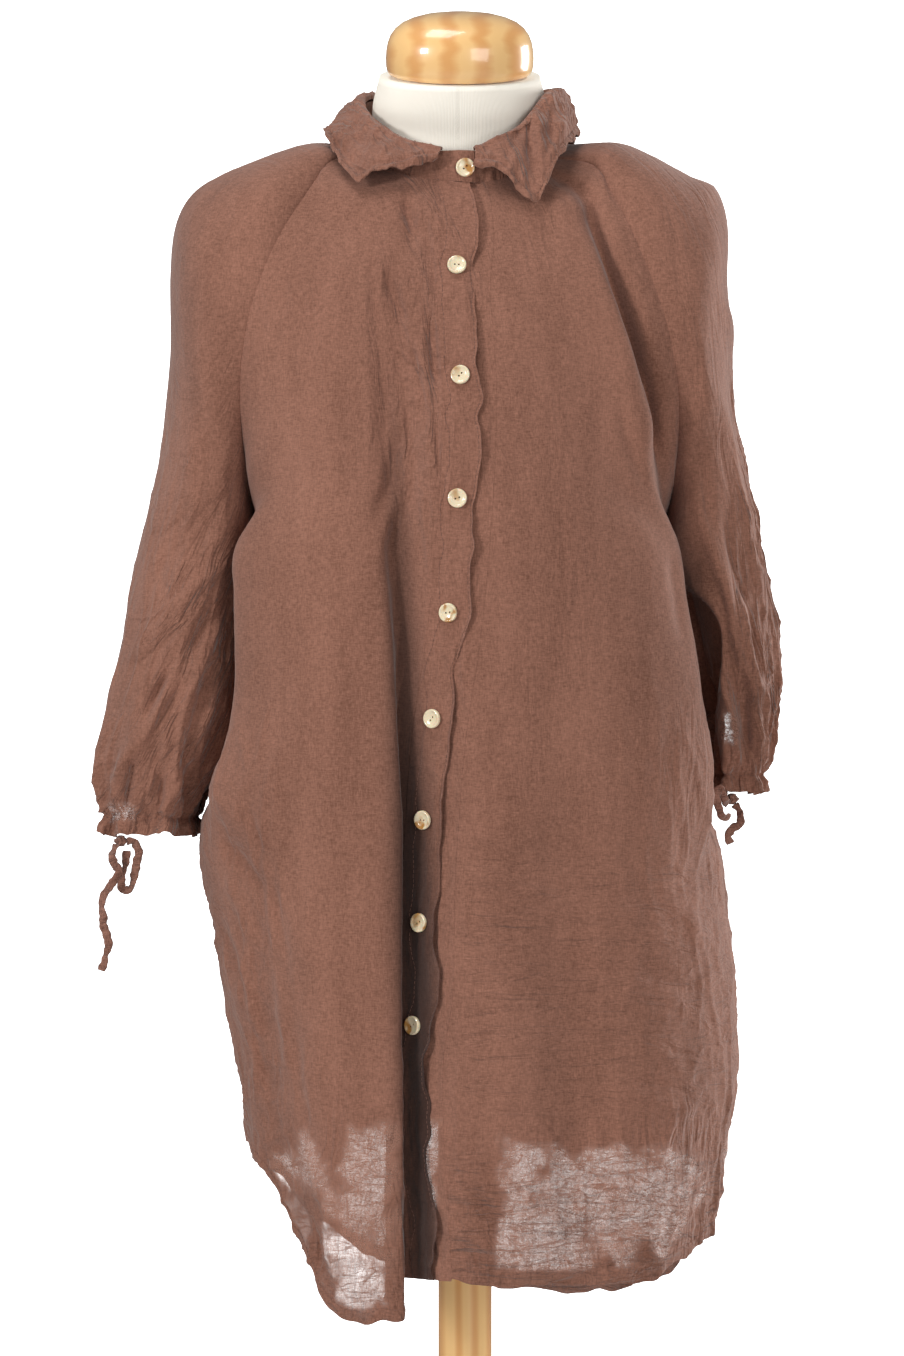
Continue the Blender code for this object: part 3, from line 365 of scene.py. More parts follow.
underarmZ = raglan(1, 1.0)[0][2]
bodyRows = range(cut["yokeRows"] + cut["skirtRows"] + 1)


def frontGrid(side):
    hem = column(hemLeft if side > 0 else hemRight, "z", np.linspace(0, 1, 260))
    fine = np.linspace(0, 1, 260)
    rows = []
    for row in bodyRows:
        if row <= cut["yokeRows"]:
            seam = raglan(side, yokeShare(row))[0]
            middleZ = cut["neckFront"] + (underarmZ - cut["neckFront"]) * yokeShare(row)
            heights = middleZ + (seam[2] - middleZ) * fine**2
            last = sectionAngle(*seam)
        else:
            seam = None
            heights = underarmZ + (hem - underarmZ) * skirtShare(row)
            last = side * math.pi / 2
        start = closingX(heights[0]) + (bands["beyond"] if side > 0 else -bands["width"])
        first = closingAngle(start, heights[0])
        points = sectionPoint(heights, first + (last - first) * fine)
        if seam is not None:
            if row == cut["yokeRows"]:
                seam = seam - (side * cut["underarmGap"] / 2, 0, 0)
            points = points + (seam - points[-1]) * (fine**3)[:, None]
        points = evenRow(points, 240)
        if row == 0:
            points = neckRow(neckAngle(start), side * collar["frontAngle"], 240)
        if side < 0:
            away = np.abs(points[:, 0] - points[0, 0])
            points[:, 1] -= bands["lift"] * (1 - smoothstep(away / bands["fade"]))
        rows.append(points)
    plain = np.array(rows)
    hold = smoothstep((1 - np.linspace(0, 1, 240)) / cut["seamHold"])[None, :, None]
    grid = plain + (folded(plain, frontFolds, -1) - plain) * hold
    return np.array([evenRow(row, cut["across"], 1.0 if side > 0 else cut["frontCrowding"]) for row in grid])


def backGrid():
    fine = np.linspace(0, 1, 300)
    hem = column(hemBack, "z", fine)
    rows = []
    for row in bodyRows:
        if row <= cut["yokeRows"]:
            right, left = raglan(-1, yokeShare(row))[1], raglan(1, yokeShare(row))[1]
            if row == cut["yokeRows"]:
                right = right + (cut["underarmGap"] / 2, 0, 0)
                left = left - (cut["underarmGap"] / 2, 0, 0)
            middleZ = cut["neckBack"] + (underarmZ - cut["neckBack"]) * yokeShare(row)
            seamZ = right[2] + (left[2] - right[2]) * fine
            heights = middleZ + (seamZ - middleZ) * np.abs(2 * fine - 1) ** 2
            first, last = sectionAngle(*right), sectionAngle(*left)
        else:
            heights = underarmZ + (hem - underarmZ) * skirtShare(row)
            right = left = None
            first, last = -math.pi / 2, math.pi / 2
        # round the back, from the right side to the left
        points = sectionPoint(heights, first - (2 * math.pi - (last - first)) * fine)
        if right is not None:
            points = points + (right - points[0]) * ((1 - fine) ** 3)[:, None]
            points = points + (left - points[-1]) * (fine**3)[:, None]
        if row == 0:
            points = neckRow(360 - collar["backAngle"], collar["backAngle"], 280)
        rows.append(evenRow(points, 280))
    plain = np.array(rows)
    fromSeam = (1 - np.abs(np.linspace(-1, 1, 280))) / 2
    hold = smoothstep(fromSeam / cut["seamHold"])[None, :, None]
    grid = plain + (folded(plain, backFolds, 1) - plain) * hold
    return np.array([evenRow(row, cut["across"]) for row in grid])


def sleeveGrid(side):
    table = sleeveLeft if side > 0 else sleeveRight
    rows, gathers = [], []
    for row in range(cut["yokeRows"] + sleeve["rows"] + 1):
        if row <= cut["yokeRows"]:
            front, back, crest, depth = raglan(side, yokeShare(row))
            gather = 0.0
            if row == cut["yokeRows"]:
                front, back = (one + (side * cut["underarmGap"] / 2, 0, 0) for one in (front, back))
        else:
            got = byRow(table, (row - cut["yokeRows"] - 1) / (sleeve["rows"] - 1))
            inner = np.array([side * got["innerX"], got["middleY"], got["innerZ"]])
            front, back = inner - (0, sleeve["seamGap"] / 2, 0), inner + (0, sleeve["seamGap"] / 2, 0)
            crest = np.array([side * got["outerX"], got["middleY"], got["outerZ"]])
            depth, gather = got["depth"], got["gather"]
        # an arc of an oval from one edge of the seam over the crest to the other
        half, middle = (back - front) / 2, (back + front) / 2
        reach = min(1.0, np.linalg.norm(half) / depth)
        span = math.pi - math.asin(reach)
        out = (crest - middle) / (1 - math.cos(span))
        across = half / math.sin(span) if reach < 1 else half
        angles = span * np.linspace(-1, 1, 320)
        points = crest - out + np.outer(np.cos(angles), out) + np.outer(np.sin(angles), across)
        if row == 0:
            points = neckRow(side * collar["frontAngle"], side * collar["backAngle"], 320)
        rows.append(evenRow(points, sleeve["around"]))
        gathers.append(gather)
    grid = np.array(rows)
    ripple = np.cos(np.linspace(0, 2 * math.pi * sleeve["gathers"], sleeve["around"]))
    return grid + normalsOf(grid) * np.outer(gathers, ripple)[..., None] * side


def normalsOf(grid):
    return unit(np.cross(np.gradient(grid, axis=1), np.gradient(grid, axis=0)))


def outward(grid, normals, centre):
    away = grid - np.array([*centre, 0.0])
    away[..., 2] = 0
    return normals if (away * normals).sum() > 0 else -normals


def shareNormals(first, firstPart, second, secondPart):
    first[firstPart] = second[secondPart] = unit(first[firstPart] + second[secondPart])


def bandGrids():
    over, under = [], []
    for row in bodyRows:
        if row <= cut["yokeRows"]:
            z = cut["neckFront"] + (underarmZ - cut["neckFront"]) * yokeShare(row)
        else:
            z = underarmZ + (column(hemRight, "z", 0.0) - underarmZ) * skirtShare(row)
        ends = closingX(z) + np.array([-bands["width"], 0, bands["beyond"]])
        seam, free, far = sectionPoint(np.full(3, z), np.array([closingAngle(x, z) for x in ends]))
        if row == 0:
            seam, free, far = (neckRow(neckAngle(x), neckAngle(x), 1)[0] for x in ends)
        seam, free = seam - (0, bands["lift"], 0), free - (0, bands["lift"], 0)
        over.append([seam, free])
        under.append([seam, free, far])
    over, under = (folded(np.array(one), frontFolds, -1) for one in (over, under))
    across = np.linspace(0, 1, bands["coarse"])[None, :, None]
    overGrid = over[:, :1] + (over[:, 1:] - over[:, :1]) * across
    inward = (under[:, 1:2] - under[:, :1]) @ np.array([[0, 1, 0], [-1, 0, 0], [0, 0, 0]])
    inward = unit(inward) * bands["lift"]
    start = under[:, :1] + (under[:, 1:2] - under[:, :1]) * 0.25 + inward
    middle = under[:, 1:2] + inward
    return overGrid, np.concatenate([start + (middle - start) * across[:, :-1], middle, under[:, 2:]], 1)


# Brown linen gauze, yarn-dyed and washed: uneven threads, a little open between them, so that
# it mottles close up and lets the backdrop through where nothing is behind it
def linenMaterial(name, dark, light):
    material, tree, shader = startMaterial(name, 0.88, Sheen_Weight=0.18, Sheen_Roughness=0.5,
                                           Specular_IOR_Level=0.2)
    place = addNode(tree, "ShaderNodeTexCoord").outputs["Object"]
    # threads drawn 1 mm apart, the real 0.6 mm being too fine to show, with slubs about 4 mm long
    slubs = []
    for stretch in ((1000, 1000, 260), (260, 260, 1000)):
        mapped = addNode(tree, "ShaderNodeMapping", {"Vector": place, "Scale": stretch})
        slubs.append(addNode(tree, "ShaderNodeTexNoise", {
            "Vector": mapped, "Scale": 1.0, "Detail": 2.0, "Roughness": 0.6}))
    both = addNode(tree, "ShaderNodeMath", {0: slubs[0], 1: slubs[1]}, operation="ADD")
    weave = addNode(tree, "ShaderNodeMath", {0: both, 1: 0.5}, operation="MULTIPLY")
    # faint streaks run down the cloth
    drawn = addNode(tree, "ShaderNodeMapping", {"Vector": place, "Scale": (24, 24, 6)})
    streaks = addNode(tree, "ShaderNodeTexNoise", {
        "Vector": drawn, "Scale": 1.0, "Detail": 5.0, "Roughness": 0.65})
    tint = addNode(tree, "ShaderNodeMapRange", {
        "Value": streaks, "From Min": 0.3, "From Max": 0.7, "To Min": -0.09, "To Max": 0.09})
    blend = addNode(tree, "ShaderNodeMath", {0: weave, 1: tint}, operation="ADD")
    ramp = addNode(tree, "ShaderNodeValToRGB", {"Fac": blend}, stops=((0.3, dark), (0.7, light)))
    # painted shade: a mask painted down the long fold beside the buttons darkens the colour there, where the
    # cloth is always in the dark
    deep, thin, worn, level = (addNode(tree, "ShaderNodeAttribute", attribute_name=paint).outputs["Fac"]
                               for paint in ("deep", "thin", "worn", "level"))
    darker = addNode(tree, "ShaderNodeMix", {0: deep, 6: ramp, 7: hexColour("1d1210")}, data_type="RGBA")
    # a mask is painted where light comes through from behind, and between the threads more of it does
    gaps = addNode(tree, "ShaderNodeMapRange", {
        "Value": weave, "From Min": 0.6, "From Max": 0.42, "To Min": 0.51, "To Max": 0.9})
    through = addNode(tree, "ShaderNodeMath", {0: gaps, 1: thin}, operation="MULTIPLY")
    # fine wrinkles are the ridges of a noise, |n - 0.5| turned over: about 12 mm apart and running
    # down the cloth where "worn" is painted, or nearly level where "level" is. Creased cloth is
    # doubled, so less light comes through it.
    downwards = addNode(tree, "ShaderNodeUVMap", uv_map="cloth")
    levelled = addNode(tree, "ShaderNodeMapping", {
        "Vector": place, "Rotation": (0, math.radians(-16), 0), "Scale": (17, 30, 95)})
    height = 0.0
    for way, scale, distortion, paint, least in ((downwards, 62.0, 0.9, worn, 0.7),
                                                 (levelled, 1.0, 0.7, level, 0.45)):
        crumple = addNode(tree, "ShaderNodeTexNoise", {
            "Vector": way, "Scale": scale, "Detail": 3.0, "Roughness": 0.5, "Distortion": distortion})
        split = addNode(tree, "ShaderNodeMath", {0: crumple, 1: 0.5}, operation="SUBTRACT")
        ridge = addNode(tree, "ShaderNodeMath", {0: split}, operation="ABSOLUTE")
        height = addNode(tree, "ShaderNodeMath", {0: ridge, 1: paint, 2: height}, operation="MULTIPLY_ADD")
        doubled = addNode(tree, "ShaderNodeMapRange", {
            "Value": ridge, "From Min": 0.002, "From Max": 0.02, "To Min": least, "To Max": 1.0})
        through = addNode(tree, "ShaderNodeMath", {0: through, 1: doubled}, operation="MULTIPLY")
    # painted light: what is left of the threads is made lighter there, as if it glowed in that light
    lit = addNode(tree, "ShaderNodeMix", {
        0: through, 6: darker.outputs[2], 7: hexColour("c6937f")}, data_type="RGBA")
    tree.links.new(lit.outputs[2], shader.inputs["Base Color"])
    covered = addNode(tree, "ShaderNodeMath", {0: 1.0, 1: through}, operation="SUBTRACT", use_clamp=True)
    tree.links.new(covered.outputs[0], shader.inputs["Alpha"])
    threadBump = addNode(tree, "ShaderNodeBump", {"Height": weave, "Strength": 0.4, "Distance": 0.0005})
    creaseBump = addNode(tree, "ShaderNodeBump", {
        "Height": height, "Strength": 0.9, "Distance": 0.016, "Normal": threadBump}, invert=True)
    tree.links.new(creaseBump.outputs[0], shader.inputs["Normal"])
    return material


linen = linenMaterial("brown linen gauze", "6b4637", "986a58")
linenTie = linenMaterial("brown linen tie", "5a3a2f", "9c7060")


def makeMesh(name, points, faces, material, uv=None, **painted):
    mesh = bpy.data.meshes.new(name)
    mesh.from_pydata([tuple(p) for p in np.asarray(points, float) * mm], [], faces)
    mesh.update()
    mesh.polygons.foreach_set("use_smooth", [True] * len(mesh.polygons))
    if uv is not None:
        loops = np.empty(len(mesh.loops), np.int32)
        mesh.loops.foreach_get("vertex_index", loops)
        laid = mesh.uv_layers.new(name="cloth")
        laid.uv.foreach_set("vector", (np.asarray(uv)[loops] * mm).reshape(-1))
    for paint, values in painted.items():
        mesh.attributes.new(paint, "FLOAT", "POINT").data.foreach_set("value", values)
    mesh.materials.append(material)
    made = bpy.data.objects.new(name, mesh)
    bpy.context.scene.collection.objects.link(made)
    return made


def standsFor(made, node):
    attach(made, "root")
    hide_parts(node)


def shell(node, grid, normals, thickness, lean=0.0, **painted):
    # Closed cloth of this thickness over a grid, in place of this node
    outer = (grid + normals * thickness / 2).reshape(-1, 3)
    inner = (grid - normals * thickness / 2).reshape(-1, 3)
    n = len(outer)
    index = np.arange(n).reshape(grid.shape[:2])
    a, b = index[:-1, :-1].ravel(), index[:-1, 1:].ravel()
    c, d = index[1:, 1:].ravel(), index[1:, :-1].ravel()
    rim = np.concatenate([index[0, ::-1], index[1:, 0], index[-1, 1:], index[-2:0:-1, -1]])
    after = np.roll(rim, -1)
    faces = np.concatenate([np.stack([a, b, c, d], 1), np.stack([a, d, c, b], 1) + n,
                            np.stack([rim, after, after + n, rim + n], 1)])
    if (normalsOf(grid) * normals).sum() < 0:
        faces = faces[:, ::-1]
    painted = {paint: np.tile(values.reshape(-1), 2) for paint, values in painted.items()}
    # wrinkles run along v, which leans with the cloth
    x, y, z = (grid[..., axis] for axis in range(3))
    flat = np.stack([x - lean * z + 0.7 * y, 0.27 * z], axis=-1)
    made = makeMesh(node + "_cloth", np.concatenate([outer, inner]), faces.tolist(), linen,
                    np.tile(flat.reshape(-1, 2), (2, 1)), **painted)
    # the cut edges stay crisp, so that a seam shows as a fine line
    mesh = made.data
    edges = np.empty(len(mesh.edges) * 2, np.int32)
    mesh.edges.foreach_get("vertices", edges)
    onRim = np.zeros(2 * n, bool)
    onRim[np.concatenate([rim, rim + n])] = True
    crisp = onRim[edges.reshape(-1, 2)].all(axis=1)
    mesh.attributes.new("sharp_edge", "BOOLEAN", "EDGE").data.foreach_set("value", crisp)
    standsFor(made, node)


def densify(grid, between):
    at = np.linspace(0, len(grid) - 1, (len(grid) - 1) * between + 1)
    low = np.clip(at.astype(int), 0, len(grid) - 2)
    slopes = np.gradient(grid, axis=0)
    return smoothBetween((at - low)[:, None, None], grid[low], grid[low + 1], slopes[low], slopes[low + 1])


# A smooth random field from a few dozen waves; the same place always gets the same value,
# so that both sides of a seam move together
def waves(points, size, stretch, seed):
    dice = np.random.default_rng(seed)
    field = np.zeros(points.shape[:-1])
    for turn in range(30):
        way = dice.normal(size=3)
        way = way / np.linalg.norm(way) * dice.uniform(0.6, 1.6) * 2 * math.pi / size
        way[2] /= stretch
        field += np.cos(points @ way + dice.uniform(0, 2 * math.pi))
    return field / math.sqrt(15)


def crumples(points, size, stretch, seed, sharp=2.4):
    return np.exp(-np.abs(waves(points, size, stretch, seed)) * sharp) - 1 / sharp


# Creases run from x, z to x, z as the front shows them; then come the height, which is negative in
# a valley, the half width, and how far the line wanders
def creased(points, creases, facing):
    x, z = points[..., 0], points[..., 2]
    out = np.zeros_like(x)
    for number, (x1, z1, x2, z2, height, width, wander) in enumerate(creases):
        dx, dz = x2 - x1, z2 - z1
        length = math.hypot(dx, dz)
        along = ((x - x1) * dx + (z - z1) * dz) / length
        away = ((x - x1) * dz - (z - z1) * dx) / length + wander * np.sin(along / 17 + number * 2.1)
        ends = smoothstep((along + 6) / (0.35 * length)) * smoothstep((length - along + 6) / (0.45 * length))
        out += 2.1 * height * ends * bump(away, width)
    return out * np.clip(facing * points[..., 1] / 25, 0, 1)


# Creases along the hem, beside the placket, at the side seams and on the lower fronts
frontCreases = (
    (44, 666, 150, 700, 2.6, 5.0, 1.2), (58, 682, 112, 690, -1.8, 4.5, 1.0),
    (-8, 704, 62, 676, 1.8, 4.5, 1.2), (88, 666, 148, 686, 1.8, 4.5, 1.0),
    (6, 728, 44, 700, -1.6, 4.0, 1.0), (112, 722, 158, 742, -1.5, 5.0, 1.0),
    (-6, 968, 82, 938, 0.9, 5.0, 1.4), (-4, 992, 60, 985, 0.9, 4.5, 1.2),
    (-4, 940, 100, 892, -0.8, 5.0, 1.6), (-45, 1458, -37, 1428, -1.6, 3.5, 0.6),
    (-35, 1403, -26, 1387, 1.4, 3, 0.5), (-56, 1399, -45, 1367, -1.8, 3.5, 0.6),
    (-30, 1440, -22, 1380, -1.5, 3.5, 0.8), (-26, 1372, -20, 1316, -1.8, 3.5, 1.0),
    (-40, 1352, -29, 1290, -1.8, 3.5, 1.0), (-52, 1310, -40, 1250, 1.3, 4, 1.0),
    (-70, 1420, -62, 1350, -1.0, 4, 0.8), (-22, 1300, -17, 1240, -1.4, 3, 0.6),
    (-33, 1245, -24, 1180, 1.0, 3.5, 0.8), (-176, 960, -150, 905, 1.8, 4, 1.2),
    (-184, 930, -160, 862, -2.0, 4.5, 1.4), (-178, 985, -148, 948, -1.8, 4, 1.2),
    (-168, 905, -142, 822, 2.0, 5, 1.2), (-150, 985, -128, 880, -1.2, 5, 1.6),
    (-142, 900, -122, 800, 1.5, 5, 1.6), (-128, 860, -112, 742, -1.5, 5, 1.4),
    (-116, 770, -96, 690, 2.0, 4.5, 1.2), (-122, 720, -104, 668, -2.0, 4, 1.0),
    (-104, 700, -84, 645, 2.0, 4, 1.0), (-84, 690, -62, 640, -1.6, 4, 1.0),
    (-74, 720, -50, 668, 1.6, 4, 1.2), (60, 700, 150, 716, -1.6, 4, 1.6),
    (40, 682, 128, 692, 1.4, 3.5, 1.4), (70, 724, 168, 742, 1.4, 4, 1.8),
    (96, 676, 160, 702, -1.8, 4, 1.4), (20, 700, 80, 676, 1.4, 4, 1.4), (-8, 742, 42, 690, -1.2, 4, 1.6),
    (110, 806, 176, 790, 1.2, 5, 1.8), (30, 990, 110, 972, -0.9, 5, 1.8),
    (20, 1000, 90, 1010, 0.7, 4, 1.6), (60, 948, 150, 930, 0.8, 6, 2.0),
    (90, 1060, 166, 1036, -0.8, 6, 2.0), (-2, 930, 26, 900, 0.9, 4, 0.8),
    (120, 900, 190, 870, -1.0, 6, 2.0), (140, 960, 186, 900, 1.0, 6, 1.6),
    (16, 1168, 44, 1150, 0.7, 4, 0.8), (110, 1310, 136, 1240, -1.2, 5, 1.0),
    (12, 870, 30, 820, -0.9, 5, 0.8), (150, 1200, 162, 1130, -1.3, 5, 1.0),
    (4, 984, 66, 962, -0.7, 3, 1.0), (8, 968, 96, 930, 0.7, 3.5, 1.4), (2, 950, 60, 934, -0.6, 3, 1.0),
    (-4, 930, 110, 890, -0.7, 3.5, 1.6), (10, 912, 84, 872, 0.6, 3, 1.2),
    (-6, 892, 60, 846, -0.7, 3.5, 1.2), (-8, 862, 74, 800, 0.6, 3.5, 1.4), (0, 836, 50, 780, -0.6, 3, 1.0),
    (70, 880, 170, 846, -0.6, 3.5, 1.6), (60, 820, 150, 790, 0.6, 3.5, 1.4),
    (-160, 1010, -140, 960, -1.6, 3.5, 0.8), (-152, 1000, -136, 900, 1.6, 3.5, 1.2),
    (24, 1012, 130, 996, 0.5, 3, 1.4), (-8, 700, 60, 690, 1.5, 3.5, 1.2),
    (30, 712, 120, 726, 1.5, 3.5, 1.6), (84, 700, 172, 730, -1.5, 3.5, 1.4),
    (-100, 690, -60, 672, 1.3, 3.5, 1.2), (-96, 664, -54, 650, -1.3, 3.5, 1.2),
)
backCreases = (
    (-60, 1290, -76, 1080, -1.2, 6, 2), (-36, 1180, -44, 900, 1.2, 7, 2), (10, 1240, 4, 1020, -1.0, 6, 2),
    (56, 1200, 70, 930, 1.3, 7, 2), (104, 1120, 116, 870, -1.4, 6, 2), (-112, 1060, -128, 820, 1.5, 6, 2),
    (-150, 960, -128, 880, -1.8, 5, 1.5), (150, 990, 128, 900, 1.8, 5, 1.5),
    (-90, 760, -60, 700, -1.6, 5, 1.6), (-40, 720, 20, 690, 1.5, 5, 1.8), (30, 740, 90, 700, -1.5, 5, 1.8),
    (90, 780, 140, 730, 1.6, 5, 1.6), (-120, 800, -100, 720, 1.6, 5, 1.2),
    (-70, 1440, -30, 1400, 0.9, 6, 1.5), (40, 1430, 90, 1370, -0.9, 6, 1.5),
)
# The sleeves wrinkle in fans from the inner seam towards the cuff
sleeveRightCreases = (
    (-178, 1168, -236, 1082, -2.2, 5.5, 1.4), (-180, 1150, -218, 1050, 2.2, 5, 1.4),
    (-184, 1128, -212, 1024, -2.4, 5, 1.2), (-196, 1180, -256, 1110, 1.6, 5, 1.6),
    (-176, 1196, -214, 1156, 1.4, 5, 1.2), (-200, 1140, -250, 1042, 2.2, 5, 1.6),
    (-214, 1130, -262, 1030, -2.2, 5, 1.6), (-190, 1098, -206, 1014, 2.2, 4.5, 1.0),
    (-196, 1070, -214, 1008, -2.4, 4, 1.0), (-218, 1078, -240, 1004, 2.4, 4.5, 1.2),
    (-236, 1090, -264, 1012, 2.2, 4.5, 1.2), (-226, 1060, -228, 1002, -2.4, 4, 1.0),
    (-246, 1050, -256, 1002, -2.4, 4, 1.0), (-206, 1216, -240, 1160, -1.2, 6, 1.4),
    (-184, 1236, -204, 1190, -1.2, 6, 1.0), (-176, 1280, -186, 1230, 1.0, 6, 1.0),
    (-210, 1044, -216, 1000, 2.0, 3.5, 0.8), (-200, 1290, -206, 1220, 0.8, 7, 1.0),
)
sleeveLeftCreases = (
    (188, 1396, 210, 1300, 2.0, 5, 1.6), (196, 1360, 222, 1230, -2.0, 5, 1.6),
    (184, 1330, 214, 1190, 2.0, 5.5, 1.6), (200, 1270, 228, 1150, 2.2, 5, 1.4),
    (190, 1240, 218, 1130, -2.2, 5, 1.4), (176, 1230, 206, 1120, 1.8, 5, 1.4),
    (186, 1180, 204, 1080, -2.2, 4.5, 1.2), (204, 1170, 224, 1076, 2.2, 4.5, 1.2),
    (214, 1150, 228, 1084, -2.0, 4, 1.0), (192, 1110, 204, 1044, 2.2, 4, 1.0),
    (204, 1096, 212, 1040, -2.2, 4, 1.0), (214, 1100, 219, 1044, 2.0, 4, 1.0),
    (168, 1290, 186, 1210, -1.4, 5, 1.2), (172, 1360, 184, 1290, 1.2, 6, 1.2),
)


# Soft crumples all over, large to small: size, how drawn out they are, seed, and their height on
# plain cloth, what is added low down and what is added at the sides
crumpleSizes = ((120, 2.2, 11, 0.6, 1.8, 1.5), (46, 1.8, 12, 0.3, 1.6, 1.5), (20, 1.3, 13, 0.14, 0.8, 0.7))


def crumpled(grid, low=0.0, side=0.0):
    return sum(crumples(grid, size, stretch, seed) * (plain + lowDown * low + atSide * side)
               for size, stretch, seed, plain, lowDown, atSide in crumpleSizes)


def roughened(grid, creases, facing):
    x, z = grid[..., 0], grid[..., 2]
    low = 1 - smoothstep((z - 700) / 160)
    side = smoothstep((np.abs(x) - 95) / 60) * (1 - smoothstep((z - 1010) / 120))
    return crumpled(grid, low, side) + creased(grid, creases, facing)


# Body of the shirt: both fronts, the back and the two bands
cloth = dict(thickness=0.7, rowsBetween=9, hemDepth=9.0, hemBulge=0.7, grooveDepth=0.25, grooveWidth=1.1)
grids = {
    "shirt_front_right": frontGrid(-1),
    "shirt_front_left": frontGrid(1),
    "shirt_back": backGrid(),
    "shirt_sleeve_right": sleeveGrid(-1),
    "shirt_sleeve_left": sleeveGrid(1),
}
grids["shirt_band_over"], grids["shirt_band_under"] = bandGrids()
grids = {name: densify(grid, cloth["rowsBetween"]) for name, grid in grids.items()}
normals = {}
for name, grid in grids.items():
    centre = (0, 0)
    if "sleeve" in name:
        centre = (150 if "left" in name else -150, 0)
    normals[name] = outward(grid, normalsOf(grid), centre)
whole = slice(None)
yoke = slice(0, cut["yokeRows"] * cloth["rowsBetween"])
skirt = slice(cut["yokeRows"] * cloth["rowsBetween"] + 1, None)
for side, backEnd in (("right", 0), ("left", -1)):
    front, back, arm = (normals["shirt_" + part] for part in ("front_" + side, "back", "sleeve_" + side))
    shareNormals(front, (yoke, -1), arm, (yoke, 0))
    shareNormals(back, (yoke, backEnd), arm, (yoke, -1))
    shareNormals(front, (skirt, -1), back, (skirt, backEnd))
shareNormals(normals["shirt_front_right"], (whole, 0), normals["shirt_band_over"], (whole, 0))
shareNormals(normals["shirt_front_left"], (whole, 0), normals["shirt_band_under"], (whole, -1))


def fromEnd(grid, last=False):
    along = lengthsAlong(grid, axis=1)
    return along[:, -1:] - along if last else along


def fromHem(grid):
    along = lengthsAlong(grid)
    return along[-1:] - along


def groove(away):
    return bump(away, cloth["grooveWidth"])


def hemWander(grid, size, lift):
    # Moves the last rows up and down by a little, more towards the very edge
    wander = waves(grid, size, 1.0, 61) + 0.3 * waves(grid, size / 2.6, 1.0, 62)
    moved = grid.copy()
    moved[..., 2] += lift * wander * np.exp(-fromHem(grid) / 9)
    return moved


def hemmed(grid):
    away, depth = fromHem(grid), cloth["hemDepth"]
    turned = 1 - smoothstep((away - depth) / 1.5)
    swell = np.sin(np.clip(away / depth, 0, 1) * math.pi)
    return cloth["hemBulge"] * turned * swell - 0.5 * groove(away - depth)


# Where light comes through from behind, the cloth is opened and painted lighter: centre, half sizes and
# strength, as the front shows them
thinFront = (
    (-70, 752, 19, 50, 1.0), (-76, 706, 25, 38, 0.75), (-78, 670, 22, 28, 0.6), (-134, 746, 10, 18, 0.8),
    (-113, 750, 13, 20, 0.7), (-126, 700, 10, 26, 0.3), (-27, 755, 9, 44, 1.0), (66, 722, 50, 62, 1.0),
    (112, 730, 62, 52, 1.0), (40, 745, 24, 34, 0.8), (160, 735, 18, 20, 0.5),
)
# The torso is behind everything above this line
torsoLine = (("x", "z"), (-200, 786), (-60, 786), (0, 784), (30, 776), (80, 767), (130, 768), (200, 750))


def thinSpots(grid, patches):
    x, z = grid[..., 0], grid[..., 2]
    thin = np.zeros_like(x)
    for middleX, middleZ, wide, high, strength in patches:
        away = (np.abs((x - middleX) / wide) ** 2.4 + np.abs((z - middleZ) / high) ** 2.4) ** (1 / 2.4)
        away = away + 0.16 * waves(grid, 26, 1.0, 51) + 0.09 * waves(grid, 9, 1.0, 55)
        thin = np.maximum(thin, strength * (1 - smoothstep((away - 0.6) / 0.7)))
    doubled = 0.35 * crumples(grid, 30, 0.8, 52, 3.2) - 0.1 * waves(grid, 50, 1.0, 54)
    return thin * np.clip(0.86 - doubled, 0, 1)


def thinness(grid):
    x, z = grid[..., 0], grid[..., 2]
    below = column(torsoLine, "z", x) + 2 * waves(grid, 30, 1.0, 53) - z
    # the pole is behind the middle
    return thinSpots(grid, thinFront) * smoothstep(below / 6) * smoothstep((np.abs(x - 4) - 15) / 6)


# Painted shade of the long fold, down the front: where it lies, how wide it is and how dark
deepFold = (
    ("z", "x", "wide", "dark"),
    (1345, -55, 5, 0.0), (1270, -52, 7, 0.25), (1190, -48, 10, 0.45), (1110, -45, 13, 0.6),
    (1040, -41, 15, 0.75), (980, -38, 17, 0.85), (900, -35, 18, 0.88), (820, -33, 17, 0.88),
    (740, -31, 15, 0.88), (660, -30, 13, 0.85),
)


def deepness(grid):
    got = columns(deepFold, grid[..., 2])
    away = np.abs((grid[..., 0] - got["x"]) / got["wide"])
    return np.clip(got["dark"], 0, 1) * np.exp(-away ** 2.5) * (grid[..., 1] < 0)


def wornness(grid):
    # most wrinkled low down, at the sides and beside the buttons
    x, z = grid[..., 0], grid[..., 2]
    low = 1 - smoothstep((z - 690) / 130)
    side = smoothstep((np.abs(x) - 110) / 60) * (1 - smoothstep((z - 1000) / 100))
    side = side * np.where(x > 0, 0.22, 0.6)
    middle = 0.8 * bump(x + 30, 26) * smoothstep((z - 1150) / 120)
    return np.clip(0.06 + low + side + middle + 0.1 * waves(grid, 160, 1.0, 71), 0, 1)


def levelness(grid):
    x, z = grid[..., 0], grid[..., 2]
    fan = smoothstep((x + 12) / 20) * smoothstep((1020 - z) / 60) * smoothstep((z - 760) / 60) * 0.45
    hem = smoothstep((790 - z) / 60) * smoothstep((x + 24) / 20) * 0.9
    lobe = smoothstep((720 - z) / 40) * smoothstep((-40 - x) / 20) * 0.5
    return fan + hem + lobe


